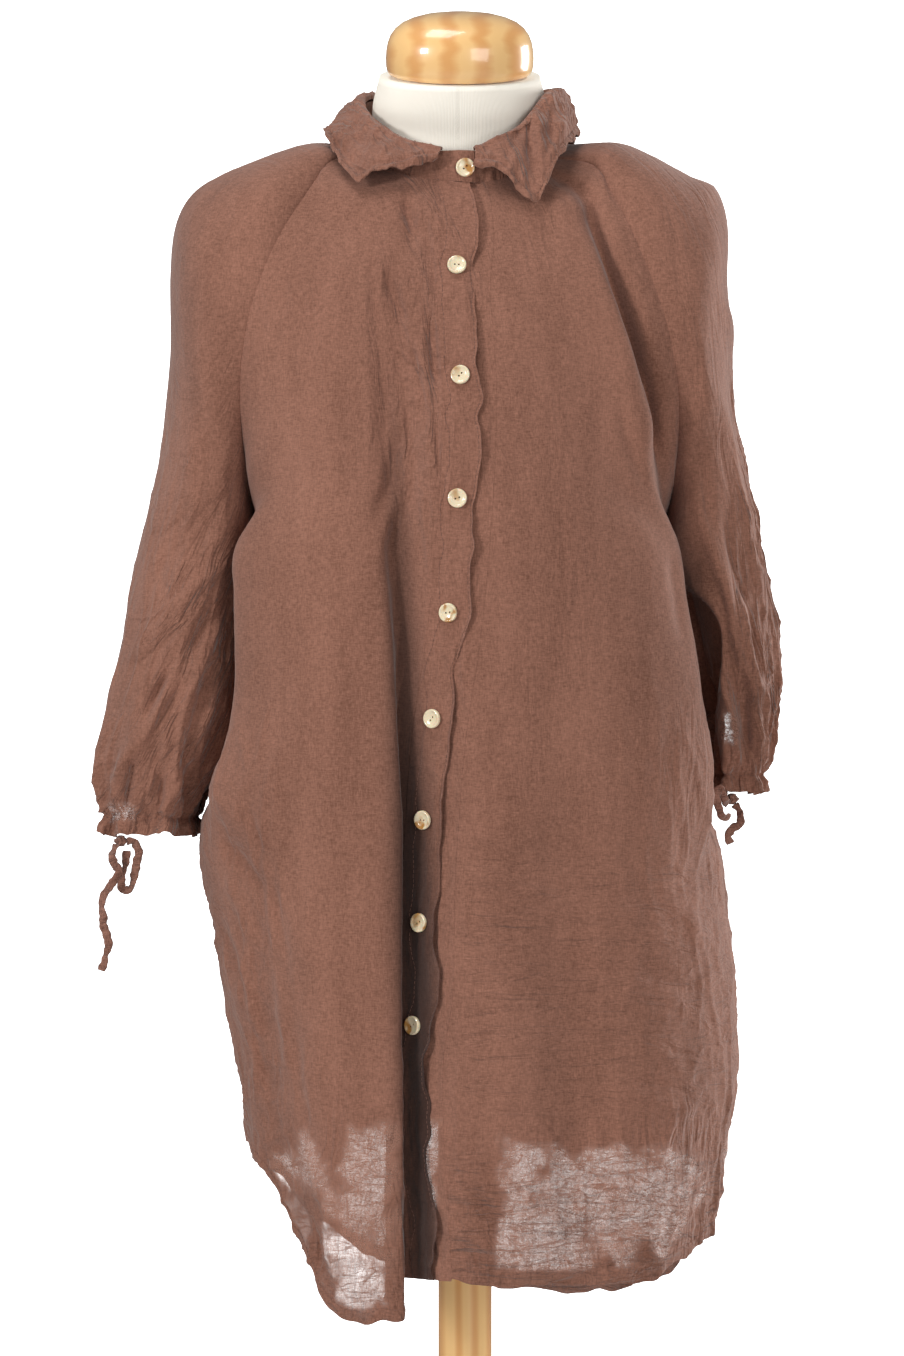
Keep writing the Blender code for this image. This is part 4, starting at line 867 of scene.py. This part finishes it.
for name in ("shirt_front_right", "shirt_front_left", "shirt_back"):
    grid, facing = grids[name], normals[name]
    if name == "shirt_back":
        creases, side = backCreases, 1
        thin = 0.6 * smoothstep((772 - grid[..., 2]) / 8)
    else:
        creases, side = frontCreases, -1
        thin = thinness(grid)
    thin = thin * (0.25 + 0.75 * smoothstep((fromHem(grid) - cloth["hemDepth"]) / 3))
    grid = hemWander(grid, 64, 2.2)
    out = roughened(grid, creases, side) + hemmed(grid)
    # seams sink in and pucker, but the left front's edge is hidden under the bands
    for last in (True,) if name == "shirt_front_left" else (False, True):
        away = fromEnd(grid, last)
        out -= cloth["grooveDepth"] * groove(away)
        out += 0.9 * np.exp(-away / 9) * crumples(grid, 13, 0.7, 5) * smoothstep(away / 2)
    grids[name] = grid + facing * out[..., None]
    level = levelness(grid)
    # the right front alone gets the painted shade of the long fold
    shell(name, grids[name], facing, cloth["thickness"], thin=thin, level=level,
          deep=deepness(grid) if name == "shirt_front_right" else 0 * thin,
          worn=np.clip(wornness(grid) - 0.5 * level, 0, 1))
print("fronts and back made")

for name in ("shirt_band_over", "shirt_band_under"):
    over = name == "shirt_band_over"
    coarse, fine = (np.linspace(0, 1, count) for count in (grids[name].shape[1], bands["across"]))
    grid, facing = (
        np.stack([[np.interp(fine, coarse, row[:, axis]) for row in one] for axis in range(3)], -1)
        for one in (grids[name], normals[name])
    )
    facing = unit(facing)
    free, seam = fromEnd(grid, over), fromEnd(grid, not over)
    thin, deep = 0 * free, 0 * free
    out = roughened(grid, frontCreases, -1)
    out += 1.1 * crumples(grid, 17, 1.6, 7) * smoothstep(free / 2) * smoothstep(seam / 6)
    if over:
        out -= sum(0.5 * groove(free - depth) for depth in bands["stitched"])
        # its free edge wanders and lifts a little
        wander = 1.5 * waves(grid, 34, 2.0, 21) + 0.7 * waves(grid, 14, 1.4, 22)
        step = facing[..., [1, 0, 2]] * (1, -1, 0)
        grid = grid - step * (wander * np.exp(-free / 6))[..., None]
        out += (1.2 + 1.5 * waves(grid, 40, 2.0, 23)) * np.exp(-free / 5)
        # the band over the fold gets the fold's painted shade too
        deep = deepness(grid)
    else:
        thin = thinness(grid)
    grids[name], normals[name] = grid + facing * out[..., None], facing
    shell(name, grids[name], facing, bands["thickness"], thin=thin, deep=deep, worn=0.3 + 0 * thin)
print("bands made")

# Sleeves, gathered into a turned casing that the drawstring runs through. The gathers are set one
# by one: where each lies round the cuff, its depth, its half width and how far up it reaches
cuffGathers = (
    (0.22, 1.9, 0.08, 30), (0.41, -1.5, 0.06, 14), (0.55, 1.3, 0.07, 44), (0.75, -2.0, 0.08, 22),
    (0.93, 1.6, 0.06, 12), (1.18, 2.2, 0.09, 38), (1.36, -1.7, 0.06, 18), (1.62, 1.2, 0.07, 16),
    (1.80, -1.6, 0.07, 34), (2.04, 1.9, 0.07, 24), (2.21, 1.2, 0.05, 10), (2.47, -2.1, 0.08, 28),
    (2.70, 1.7, 0.07, 46), (2.88, -1.3, 0.06, 14), (3.15, 2.0, 0.08, 20), (3.39, -1.8, 0.07, 32),
    (3.58, 1.4, 0.06, 12), (3.86, 2.1, 0.09, 30), (4.02, -1.5, 0.06, 20), (4.31, 1.5, 0.07, 40),
    (4.52, -2.0, 0.08, 16), (4.74, 1.6, 0.06, 24), (5.03, 1.9, 0.08, 34), (5.19, -1.6, 0.06, 12),
    (5.46, 1.3, 0.07, 22), (5.70, -1.8, 0.07, 28), (5.93, 1.8, 0.07, 18), (6.10, -1.2, 0.06, 36),
)
# The left sleeve's front caves in beside the body; this is the rim of the hollow
hollowRim = (
    ("z", "x"),
    (1180, 160), (1172, 168), (1160, 181), (1146, 189), (1124, 191), (1090, 188), (1040, 187),
)
for name, side in (("shirt_sleeve_right", -1), ("shirt_sleeve_left", 1)):
    # the spots are where light comes through near the cuff: the cloth there is opened and painted lighter
    grid, facing = hemWander(grids[name], 30, 0.9), normals[name]
    x, z = grid[..., 0], grid[..., 2]
    if side < 0:
        creases, lean = sleeveRightCreases, 0.42
        spots = ((-260, 1006, 9, 9, 0.8), (-249, 1006, 5, 8, 0.7))
        down = np.linspace(0, 1, len(grid))[:, None]
        strong = smoothstep((down - 0.4) / 0.3) * (0.3 + 0.7 * smoothstep((x + 248) / 34))
        strong = np.maximum(strong, smoothstep((1075 - z) / 60))
    else:
        creases, lean = sleeveLeftCreases, -0.24
        spots = ((197, 1070, 7, 17, 0.9),)
        strong = smoothstep((1450 - z) / 90) * smoothstep((x - 192) / 16)
        strong = np.maximum(strong, 0.5 * smoothstep((1150 - z) / 60))
    # long wrinkles run down from the underarm to the outer edge, on both faces
    along = np.stack([x - lean * z, grid[..., 1], z], axis=-1)
    wrinkles = (3.6 * crumples(along, 50, 4.0, 31, 2.6) + 3.0 * crumples(along, 25, 4.5, 32, 3.2)
                + 1.3 * crumples(along, 12, 4.0, 34, 3.2))
    fade = smoothstep(fromEnd(grid) / 14) * smoothstep(fromEnd(grid, True) / 14)
    out = crumpled(grid)
    out += fade * (strong * wrinkles + creased(grid, creases, -1) + 0.8 * creased(grid, creases, 1))
    if side > 0:
        beyond = column(hollowRim, "x", z) - x
        within = smoothstep((1180 - z) / 14) * smoothstep((z - 1040) / 14) * (facing[..., 1] < 0.2)
        out += fade * within * (2.0 * bump(beyond + 4, 4) - 13 * smoothstep(beyond / 7))
    toCuff = fromHem(grid)
    turn = np.linspace(0, 2 * math.pi, grid.shape[1])[None, :]
    for at, depth, width, reach in cuffGathers:
        out += 1.5 * depth * bump(turn - at - 0.03 * toCuff / reach, width) * np.exp(-toCuff / reach)
    out += 1.1 * bump(toCuff - 7, 4) - 1.6 * bump(toCuff - sleeve["casing"], 2)
    for last in (False, True):
        out -= cloth["grooveDepth"] * groove(fromEnd(grid, last))
    grids[name] = grid + facing * out[..., None]
    shell(name, grids[name], facing, cloth["thickness"], lean, thin=thinSpots(grid, spots),
          worn=fade * np.clip(0.2 + strong, 0, 1))
print("sleeves made")


# Brown linen thread, twisted tight and a little lighter where it shines
def threadMaterial():
    material, tree, shader = startMaterial("brown linen thread", 0.75, Sheen_Weight=0.1)
    place = addNode(tree, "ShaderNodeTexCoord").outputs["Object"]
    ply = addNode(tree, "ShaderNodeTexNoise", {"Vector": place, "Scale": 900.0, "Detail": 1.0})
    ramp = addNode(tree, "ShaderNodeValToRGB", {"Fac": ply}, stops=((0, "4b2d24"), (1, "8a6152")))
    tree.links.new(ramp.outputs[0], shader.inputs["Base Color"])
    return material


linenThread = threadMaterial()
stitch = dict(long=2.6, gap=1.0, thick=0.42, proud=0.12)


def ringFaces(count, sides, first=0, capped=True):
    # Quads between each ring of points and the next, and a face over each end
    faces = []
    for low in range(first, first + (count - 1) * sides, sides):
        for step in range(sides):
            after = (step + 1) % sides
            faces.append((low + step, low + after, low + sides + after, low + sides + step))
    if capped:
        faces.append(tuple(first + step for step in range(sides - 1, -1, -1)))
        faces.append(tuple(first + (count - 1) * sides + step for step in range(sides)))
    return faces


def stitchLine(name, line, facings, lift):
    # Each stitch is a six-sided capsule, pinched at both ends
    along = lengthsAlong(line)
    shares = np.array([0, 0.12, 0.5, 0.88, 1.0])
    fat = np.array([0.35, 0.9, 1.0, 0.9, 0.35]) * stitch["thick"] / 2
    points, faces = [], []
    for start in np.arange(0.5, along[-1] - stitch["long"], stitch["long"] + stitch["gap"]):
        at = start + shares * stitch["long"]
        spine = np.stack([np.interp(at, along, line[:, axis]) for axis in range(3)], axis=1)
        up = unit(np.array([np.interp(start, along, facings[:, axis]) for axis in range(3)]))
        side = np.cross(unit(spine[-1] - spine[0]), up)
        faces += ringFaces(len(shares), 6, first=len(points))
        for centre, radius in zip(spine, fat):
            for step in range(6):
                turn = math.pi * step / 3
                points.append(centre + up * (lift + stitch["proud"] + radius * math.sin(turn))
                              + side * radius * math.cos(turn))
    made = makeMesh(name, points, faces, linenThread)
    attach(made, "root")


def lineAt(grid, facing, away, depth, trim):
    # The line that lies this far from an edge, less a few points at both ends
    line, facings = [], []
    for row, normal, far in zip(grid, facing, away):
        order = np.argsort(far)
        line.append([np.interp(depth, far[order], row[order, axis]) for axis in range(3)])
        facings.append([np.interp(depth, far[order], normal[order, axis]) for axis in range(3)])
    return np.array(line)[trim:-trim], np.array(facings)[trim:-trim]


def stitchHem(name, piece, depth):
    crossed = (one.swapaxes(0, 1) for one in (grids[piece], normals[piece], fromHem(grids[piece])))
    stitchLine(name, *lineAt(*crossed, depth, 4), cloth["thickness"] / 2)


for part in ("front_right", "front_left", "back"):
    stitchHem(f"stitches_{part}_hem", "shirt_" + part, cloth["hemDepth"])
band, bandNormals = grids["shirt_band_over"], normals["shirt_band_over"]
for edge, depth in zip(("free", "seam"), bands["stitched"]):
    stitchLine("stitches_band_" + edge, *lineAt(band, bandNormals, fromEnd(band, True), depth, 2),
               bands["thickness"] / 2)
for part in ("sleeve_right", "sleeve_left"):
    stitchHem("stitches_" + part, "shirt_" + part, sleeve["casing"])
print("stitches made")

# Collar: a stand round the neck, and a small fall with two points that has gone limp in the wash
grid = []
for up in np.linspace(1, 0, collar["standRows"]):
    row = []
    for angle in np.linspace(stand[1][0], stand[-1][0], collar["standAround"]):
        got = columns(stand, angle)
        bottom = got["zLow"] - collar["seamDrop"]
        z = bottom + (got["zHigh"] - bottom) * up
        row.append(ringPoint(angle, got["radius"] - collar["lean"] * up, z))
    grid.append(row)
grid = np.array(grid)
facing = outward(grid, normalsOf(grid), collar["centre"])
out = 0.6 * crumples(grid, 22, 0.9, 41) - 0.4 * groove(fromHem(grid) - 2.5)
shell("shirt_collar_stand", grid + facing * out[..., None], facing, collar["standThickness"],
      worn=0.7 + 0 * out)

collarCreases = (
    (52, 1524, 57, 1486, 1.6, 3.0, 0.8), (46, 1518, 50, 1480, -1.6, 3.0, 0.8),
    (63, 1528, 66, 1500, -1.5, 3.0, 0.6), (40, 1512, 30, 1490, -1.0, 3.0, 0.6),
    (72, 1522, 60, 1478, 1.2, 2.6, 0.8), (-84, 1526, -76, 1492, -1.0, 4, 1.0),
    (-92, 1512, -68, 1484, 1.2, 3.0, 0.8), (-98, 1506, -78, 1482, -1.3, 2.6, 0.6),
    (-62, 1506, -50, 1486, 0.9, 4, 0.8),
)
angles = np.linspace(fall[1][0], fall[-1][0], collar["fallAround"])
grid = []
for angle in angles:
    radius = column(stand, "radius", angle) - collar["lean"]
    top = column(stand, "zHigh", angle) + 1.6
    start = ringPoint(angle, radius, top)
    edge = np.array([column(fall, name, angle) for name in fall[0][1:]])
    outwards = ringPoint(angle, radius + 1, top) - start
    rise = np.array([0, 0, collar["roll"]])
    over = start + outwards * 9.5 + rise * 0.3
    row = [start, start + rise * 0.75 + outwards * 0.6, start + outwards * 3.2 + rise,
           start + outwards * 6.8 + rise * 0.95]
    for t in np.linspace(0, 1, collar["coarse"]):
        row.append(over + (edge - over) * t + outwards * 2.5 * math.sin(math.pi * t))
    grid.append(row)
grid = densify(np.array(grid).transpose(1, 0, 2), 7).transpose(1, 0, 2)
# the roll flattens towards both front ends
toFront = np.minimum(angles - angles[0], angles[-1] - angles)[:, None]
grid[..., 2] -= 0.85 * collar["roll"] * bump(toFront, 9) * smoothstep((fromEnd(grid) - 0.5) / 3)
facing = normalsOf(grid)
if (facing[:, -1] * (grid[:, -1] - np.array([*collar["centre"], 1500.0]))).sum() < 0:
    facing = -facing
toEdge = fromEnd(grid, True)
loose = smoothstep(fromEnd(grid) / 16)
out = loose * (2.6 * crumples(grid, 34, 1.6, 43) + 1.6 * crumples(grid, 16, 1.2, 44)
               + 0.8 * waves(grid, 14, 1.0, 45) * np.exp(-toEdge / 3.5) + creased(grid, collarCreases, -1))
out += 1.8 * bump(toEdge - 2.8, 2.4) - 1.4 * bump(toEdge - collar["stitched"], 1.5)
# its edge puckers along the stitches
pucker = 1.1 * waves(grid, 17, 1.0, 46) + 0.3 * waves(grid, 8, 1.0, 47)
grid = grid + unit(np.gradient(grid, axis=1)) * (pucker * np.exp(-toEdge / 5))[..., None]
grid = grid + facing * out[..., None]
shell("shirt_collar_fall", grid, facing, collar["fallThickness"], worn=0.8 + 0 * out)
stitchLine("stitches_collar", *lineAt(grid, facing, fromEnd(grid, True), collar["stitched"], 3),
           collar["fallThickness"] / 2)
print("collar made")


def openForEdit(made):
    for item in bpy.context.selected_objects:
        item.select_set(False)
    made.select_set(True)
    bpy.context.view_layer.objects.active = made
    bpy.ops.object.mode_set(mode="EDIT")
    bpy.ops.mesh.select_all(action="SELECT")


def fixFacing(made, merge=False):
    openForEdit(made)
    if merge:
        bpy.ops.mesh.remove_doubles(threshold=1e-6)
    bpy.ops.mesh.normals_make_consistent(inside=False)
    bpy.ops.object.mode_set(mode="OBJECT")


def lathe(name, profile, segments, material):
    # Each ring is extruded from the last and scaled to its radius
    radius, height = profile[0]
    bpy.ops.mesh.primitive_circle_add(vertices=segments, radius=radius * mm, fill_type="NGON",
                                      location=(0, 0, height * mm))
    made = bpy.context.object
    made.name = made.data.name = name
    bpy.ops.object.transform_apply(location=True, rotation=False, scale=False)
    openForEdit(made)
    for nextRadius, nextHeight in profile[1:]:
        bpy.ops.mesh.extrude_region_move(
            TRANSFORM_OT_translate={"value": (0, 0, (nextHeight - height) * mm)})
        scale = nextRadius / radius
        bpy.ops.transform.resize(value=(scale, scale, 1), center_override=(0, 0, nextHeight * mm))
        radius, height = nextRadius, nextHeight
    bpy.ops.object.mode_set(mode="OBJECT")
    fixFacing(made)
    bpy.ops.object.shade_smooth_by_angle(angle=math.radians(35))
    made.data.materials.clear()
    made.data.materials.append(material)
    return made


# Buttons cast in cream resin with a honey-brown streak, and polished
def buttonMaterial():
    material, tree, shader = startMaterial("cream button resin", 0.22, Coat_Weight=0.35,
                                           Subsurface_Weight=0.15, Subsurface_Scale=0.002)
    place = addNode(tree, "ShaderNodeTexCoord").outputs["Object"]
    streak = addNode(tree, "ShaderNodeTexNoise", {
        "Vector": place, "Scale": 75.0, "Detail": 1.5, "Distortion": 0.6})
    ramp = addNode(tree, "ShaderNodeValToRGB", {"Fac": streak}, stops=((0.36, "b07f45"), (0.46, "e2d2b2")))
    tree.links.new(ramp.outputs[0], shader.inputs["Base Color"])
    return material


# Dished inside the rim, with two small holes, and counted from the collar down
button = dict(radius=7.0, thickness=2.8, segments=48, holeRadius=0.7, holeAway=1.5, standoff=0.3,
              heights=(1482, 1408, 1327, 1237, 1154, 1077, 1003, 928, 853))
half, rim = button["thickness"] / 2, button["radius"]
pattern = lathe("button_pattern", (
    (rim - 1.0, -half), (rim - 0.4, -half + 0.15), (rim, -half + 0.7), (rim, half - 0.7),
    (rim - 0.25, half - 0.25), (rim - 0.8, half), (rim - 1.3, half - 0.05), (rim - 1.9, half - 0.5),
    (rim - 2.6, half - 0.85), (1.0, half - 1.0),
), button["segments"], buttonMaterial())
for sideways in (-1, 1):
    bpy.ops.mesh.primitive_cylinder_add(vertices=20, radius=button["holeRadius"] * mm, depth=9 * mm,
                                        location=(sideways * button["holeAway"] * mm, 0, 0))
    drill = bpy.context.object
    hole = pattern.modifiers.new("hole", "BOOLEAN")
    hole.object = drill
    hole.operation = "DIFFERENCE"
    hole.solver = "EXACT"
    bpy.context.view_layer.objects.active = pattern
    bpy.ops.object.modifier_apply(modifier=hole.name)
    bpy.data.objects.remove(drill)


def turnTo(axis):
    x = unit(np.cross((0, 0, 1) if abs(axis[2]) < 0.9 else (1, 0, 0), axis))
    return np.stack([x, np.cross(axis, x), axis], axis=1)


# They sit down the middle of the buttonhole band, the first on the collar stand
middle = band.shape[1] // 2
line = (band[:, middle - 1] + band[:, middle]) / 2
for number, z in enumerate(button["heights"], start=1):
    if z > line[0, 2]:
        place = ringPoint(363, column(stand, "radius", 366) - 1.8, z)
        axis = unit(np.array([0.0, -1.0, 0.12]))
    else:
        row = int(np.argmax(line[:, 2] < z)) - 1
        share = (line[row, 2] - z) / (line[row, 2] - line[row + 1, 2])
        place = line[row] + share * (line[row + 1] - line[row])
        axis = unit(bandNormals[max(row - 4, 0):row + 5, middle].mean(axis=0))
    place = place + axis * (0.6 + button["standoff"] + half)
    spin = 0.5 * math.sin(number * 2.4) + 0.4
    about = np.array([[math.cos(spin), -math.sin(spin), 0], [math.sin(spin), math.cos(spin), 0], [0, 0, 1]])
    mesh = pattern.data.copy()
    points = np.empty(len(mesh.vertices) * 3)
    mesh.vertices.foreach_get("co", points)
    points = points.reshape(-1, 3) @ about.T @ turnTo(axis).T + place * mm
    mesh.vertices.foreach_set("co", points.reshape(-1))
    made = bpy.data.objects.new(f"button_{number}", mesh)
    bpy.context.scene.collection.objects.link(made)
    standsFor(made, f"shirt_button_{number}")
bpy.data.objects.remove(pattern)
print("buttons made")

# Drawstring ends: narrow strips of the same linen, rolled and limp. Each hangs along its points.
tie = dict(radius=1.6, spacing=1.6, wide=2.0, flat=0.5, sides=14, knotRadius=4.2, knotRings=26, knotSides=32)
ties = {
    "right": dict(
        knot=(-256, -38.5, 985.4),
        loop=((-251.6, -38.6, 985.2), (-247, -38, 985), (-243, -37, 978), (-245, -37, 966), (-247, -37, 955),
              (-250, -37, 949), (-254, -37, 949), (-256, -37, 954), (-254, -37, 963), (-252, -37, 972),
              (-252, -38, 978)),
        end=((-259.1, -40.3, 982.8), (-262, -44, 976), (-261, -45, 969), (-257, -45, 964), (-260, -45, 957),
             (-266, -44, 949), (-270, -43, 940), (-269, -43, 930), (-268, -43, 920), (-265, -43, 912),
             (-267, -43, 900), (-270, -43, 889))),
    "left": dict(
        knot=(199, -28, 1016.4),
        loop=((196.0, -31.0, 1013.1), (194, -38, 1014), (191, -43, 1021), (188, -45, 1025), (187, -45, 1017),
              (189, -43, 1008), (192, -40, 1003), (197, -36, 1003)),
        end=((200.8, -28.4, 1012.4), (205, -28, 1006), (204, -28, 997), (199, -28, 994), (196, -28, 989),
             (198, -28, 983))),
}


def smoothRoute(points):
    keys = lengthsAlong(np.array(points, float))
    table = (("key", "x", "y", "z"), *((key, *point) for key, point in zip(keys, points)))
    dense = np.stack([column(table, axis, np.linspace(0, keys[-1], 400)) for axis in "xyz"], axis=1)
    return evenRow(dense, max(4, round(keys[-1] / tie["spacing"])))


def stripTube(name, route):
    points, uv = [], []
    sides = tie["sides"]
    for place, (point, way) in enumerate(zip(route, unit(np.gradient(route, axis=0)))):
        first = unit(np.cross(way, (0.2, 1, 0.1)))
        second = np.cross(way, first)
        twist = 0.5 * math.sin(place * 0.23 + len(name)) + 0.25 * math.sin(place * 0.61)
        for step in range(sides):
            turn = 2 * math.pi * step / sides
            uneven = 1 + 0.13 * math.sin(3 * turn + place * 0.9) + 0.1 * math.sin(place * 1.7)
            radius = tie["radius"] * uneven
            a, b = radius * tie["wide"] * math.cos(turn), radius * tie["flat"] * math.sin(turn)
            points.append(point + first * (a * math.cos(twist) - b * math.sin(twist))
                          + second * (a * math.sin(twist) + b * math.cos(twist)))
            uv.append((step * 0.8, place * tie["spacing"]))
    made = makeMesh(name, points, ringFaces(len(route), sides), linenTie, uv, worn=np.ones(len(points)))
    fixFacing(made)
    return made


def knot(name, place):
    # Overhand knot: a lumpy ball of three turns pulled tight
    points, uv = [], []
    rings, sides = tie["knotRings"], tie["knotSides"]
    for ring in range(rings):
        polar = math.pi * ring / (rings - 1)
        for step in range(sides):
            turn = 2 * math.pi * step / sides
            out = math.sin(polar)
            way = np.array([out * math.cos(turn), out * math.sin(turn), math.cos(polar)])
            lump = 1 + 0.16 * math.sin(2 * turn + 5 * polar) * out + 0.07 * math.sin(5 * turn - 7 * polar)
            points.append(np.array(place) + tie["knotRadius"] * lump * way * (1.1, 0.9, 0.95))
            uv.append((step * 0.8, ring * 0.5))
    faces = ringFaces(rings, sides, capped=False)
    made = makeMesh(name, points, faces, linenTie, uv, worn=np.ones(len(points)))
    fixFacing(made, merge=True)
    return made


for side, parts in ties.items():
    standsFor(knot(f"knot_{side}", parts["knot"]), f"tie_{side}_knot")
    for part, farEnd in (("loop", "object"), ("end", "bare")):
        route = smoothRoute(parts[part])
        made = stripTube(f"drawstring_{side}_{part}", route)
        standsFor(made, f"tie_{side}_{part}")
print("ties made")


# Off-white cotton jersey stretched over a padded torso, ribbed finely up the neck
def jerseyMaterial():
    material, tree, shader = startMaterial("off-white jersey", 0.8, Sheen_Weight=0.15)
    ribs = addNode(tree, "ShaderNodeTexWave", {
        "Vector": addNode(tree, "ShaderNodeUVMap", uv_map="cloth"), "Scale": 330.0, "Distortion": 0.4,
        "Detail": 1.0, "Detail Scale": 40.0}, wave_type="BANDS", bands_direction="X").outputs["Fac"]
    ramp = addNode(tree, "ShaderNodeValToRGB", {"Fac": ribs}, stops=((0, "fcf4e4"), (0.7, "fffaee")))
    tree.links.new(ramp.outputs[0], shader.inputs["Base Color"])
    dents = addNode(tree, "ShaderNodeBump", {"Height": ribs, "Strength": 0.35, "Distance": 0.0006})
    tree.links.new(dents.outputs[0], shader.inputs["Normal"])
    return material


# The torso's sections, from its lower edge to the top of the neck, which leans forward
form = (
    ("z", "halfWidth", "front", "back", "centreY"),
    (780, 141, 79, 93, 2), (784, 151, 87, 103, 2), (795, 156, 92, 108, 2), (860, 157, 93, 112, 0),
    (950, 144, 88, 100, 0), (1040, 122, 82, 84, 0), (1130, 124, 92, 86, 0), (1200, 131, 108, 90, 0),
    (1260, 138, 114, 94, 0), (1330, 146, 106, 98, 0), (1390, 162, 92, 94, 0), (1430, 176, 78, 84, 0),
    (1450, 180, 68, 74, 0), (1466, 170, 60, 64, 0), (1478, 132, 56, 58, 0), (1488, 96, 54, 56, -2),
    (1500, 71, 54, 54, -4), (1515, 66, 53, 53, -6), (1535, 65, 53, 53, -12), (1556, 60, 53, 53, -18),
)
torso = dict(around=160, rows=180, edgeRows=14, power=2 / 2.2, tilt=14.0, tiltFrom=1480.0, girth=62)
lowest, edgeTop, highest = form[1][0], form[3][0], form[-1][0]
heights = np.concatenate([np.linspace(lowest, edgeTop, torso["edgeRows"]),
                          np.linspace(edgeTop, highest, torso["rows"])[1:]])
leans = math.tan(math.radians(torso["tilt"])) * smoothstep(
    (heights - torso["tiltFrom"]) / (highest - torso["tiltFrom"]))
points, uv = [], []
for z, lean in zip(heights, leans):
    got = columns(form, z)
    for angle in np.arange(torso["around"]) * 2 * math.pi / torso["around"]:
        sine, cosine = math.sin(angle), math.cos(angle)
        x = got["halfWidth"] * math.copysign(abs(sine) ** torso["power"], sine)
        y = -got["front" if cosine > 0 else "back"] * math.copysign(abs(cosine) ** torso["power"], cosine)
        points.append((collar["centre"][0] + x, got["centreY"] + y, z + lean * y))
        # u runs round the middle of the neck, so that the ribs stay even
        uv.append((angle * torso["girth"], z))
faces = ringFaces(len(heights), torso["around"])
torsoPiece = makeMesh("dress_form_torso", points, faces, jerseyMaterial(), uv)
fixFacing(torsoPiece)
standsFor(torsoPiece, "form_torso")
print("torso made")


# Turned pine under clear varnish: pale and warm, with long darker growth lines and a hard gloss
def pineMaterial(name, scale):
    material, tree, shader = startMaterial(name, 0.28, Coat_Weight=0.7, Coat_Roughness=0.08)
    place = addNode(tree, "ShaderNodeTexCoord").outputs["Object"]
    rings = addNode(tree, "ShaderNodeTexWave", {
        "Vector": addNode(tree, "ShaderNodeMapping", {"Vector": place, "Scale": scale}), "Scale": 16.0,
        "Distortion": 2.4, "Detail": 3.0, "Detail Scale": 1.2},
        wave_type="BANDS", bands_direction="X").outputs["Fac"]
    ramp = addNode(tree, "ShaderNodeValToRGB", {"Fac": rings}, stops=((0.25, "edc081"), (0.95, "dca263")))
    tree.links.new(ramp.outputs[0], shader.inputs["Base Color"])
    dents = addNode(tree, "ShaderNodeBump", {"Height": rings, "Strength": 0.08, "Distance": 0.0005})
    tree.links.new(dents.outputs[0], shader.inputs["Normal"])
    return material


pineCap = pineMaterial("varnished pine cap", (0.8, 0.8, 4.0))
pinePole = pineMaterial("varnished pine pole", (1.6, 1.6, 0.12))

# The cap is an oval, less deep than wide, and leans with the neck
cap = dict(segments=128, centre=(-4.0, -24.0, 1555.0), depth=0.86)
capPiece = lathe("neck_cap", (
    (43, 0), (47, 0.2), (50.5, 0.9), (53, 2.6), (54.4, 5.2), (55, 8.5), (55.2, 14), (54.8, 20), (53.8, 25.5),
    (51.8, 31), (48.2, 36), (43, 40.2), (36, 43.4), (27, 45.9), (16, 47.4), (6, 47.9),
), cap["segments"], pineCap)
openForEdit(capPiece)
bpy.ops.transform.resize(value=(1, cap["depth"], 1), center_override=(0, 0, 0))
bpy.ops.transform.rotate(value=-math.radians(torso["tilt"]), orient_axis="X", center_override=(0, 0, 0))
bpy.ops.transform.translate(value=tuple(c * mm for c in cap["centre"]))
bpy.ops.object.mode_set(mode="OBJECT")
standsFor(capPiece, "form_cap")

# Pole and base, with their edges rounded
pole = dict(segments=96, radius=20.0, middle=400, top=780.0)
base = dict(segments=160, radius=190.0, thickness=25.0)
wide, low, high = pole["radius"], base["thickness"], pole["top"]
standsFor(lathe("pole", (
    (wide - 0.6, low + 0.3), (wide, low + 0.9), (wide, pole["middle"]),
    (wide, high - 0.9), (wide - 0.6, high - 0.3),
), pole["segments"], pinePole), "form_pole")
rim, top = base["radius"], base["thickness"]
standsFor(lathe("base", (
    (rim - 1.5, 0), (rim, 1.5), (rim, top - 5), (rim - 0.5, top - 3),
    (rim - 1.5, top - 1.5), (rim - 3, top - 0.5), (rim - 5, top), (wide + 1, top),
), base["segments"], pineCap), "form_base")
print("cap, pole and base made")

# Plain floor and soft studio light
bpy.ops.mesh.primitive_plane_add(size=6)
floor = bpy.context.object
floor.name = "floor"
floor.data.materials.append(startMaterial("pale floor", 0.9, Base_Color=(0.86, 0.86, 0.86, 1))[0])

world = bpy.data.worlds.new("studio")
bpy.context.scene.world = world
world.use_nodes = True
background = world.node_tree.nodes["Background"]
strength = addNode(world.node_tree, "ShaderNodeMapRange", {
    "Value": addNode(world.node_tree, "ShaderNodeLightPath"), "To Min": 0.22, "To Max": 2.2})
world.node_tree.links.new(strength.outputs[0], background.inputs["Strength"])
background.inputs["Color"].default_value = (1, 1, 1, 1)

# Lights: place, what each is aimed at, its size and its power
lights = {
    "key": ((-3.1, -2.6, 2.1), (0, 0, 1.1), 0.8, 82),
    "fill": ((1.9, -3.7, 1.6), (0, 0, 1.1), 1.8, 56),
    "top": ((-0.5, -0.6, 3.2), (0, 0, 1.1), 1.0, 22),
    "behind": ((2.6, 1.3, 1.7), (0.1, 0, 1.1), 1.2, 75),
}
for name, (place, target, size, power) in lights.items():
    light = bpy.data.lights.new(name, "AREA")
    light.shape = "SQUARE"
    light.size = size
    light.energy = power
    made = bpy.data.objects.new(name, light)
    made.location = place
    x, y, z = np.array(target) - np.array(place)
    made.rotation_euler = (math.atan2(math.hypot(x, y), -z), 0, math.atan2(y, x) - math.pi / 2)
    bpy.context.scene.collection.objects.link(made)
print("stage made")
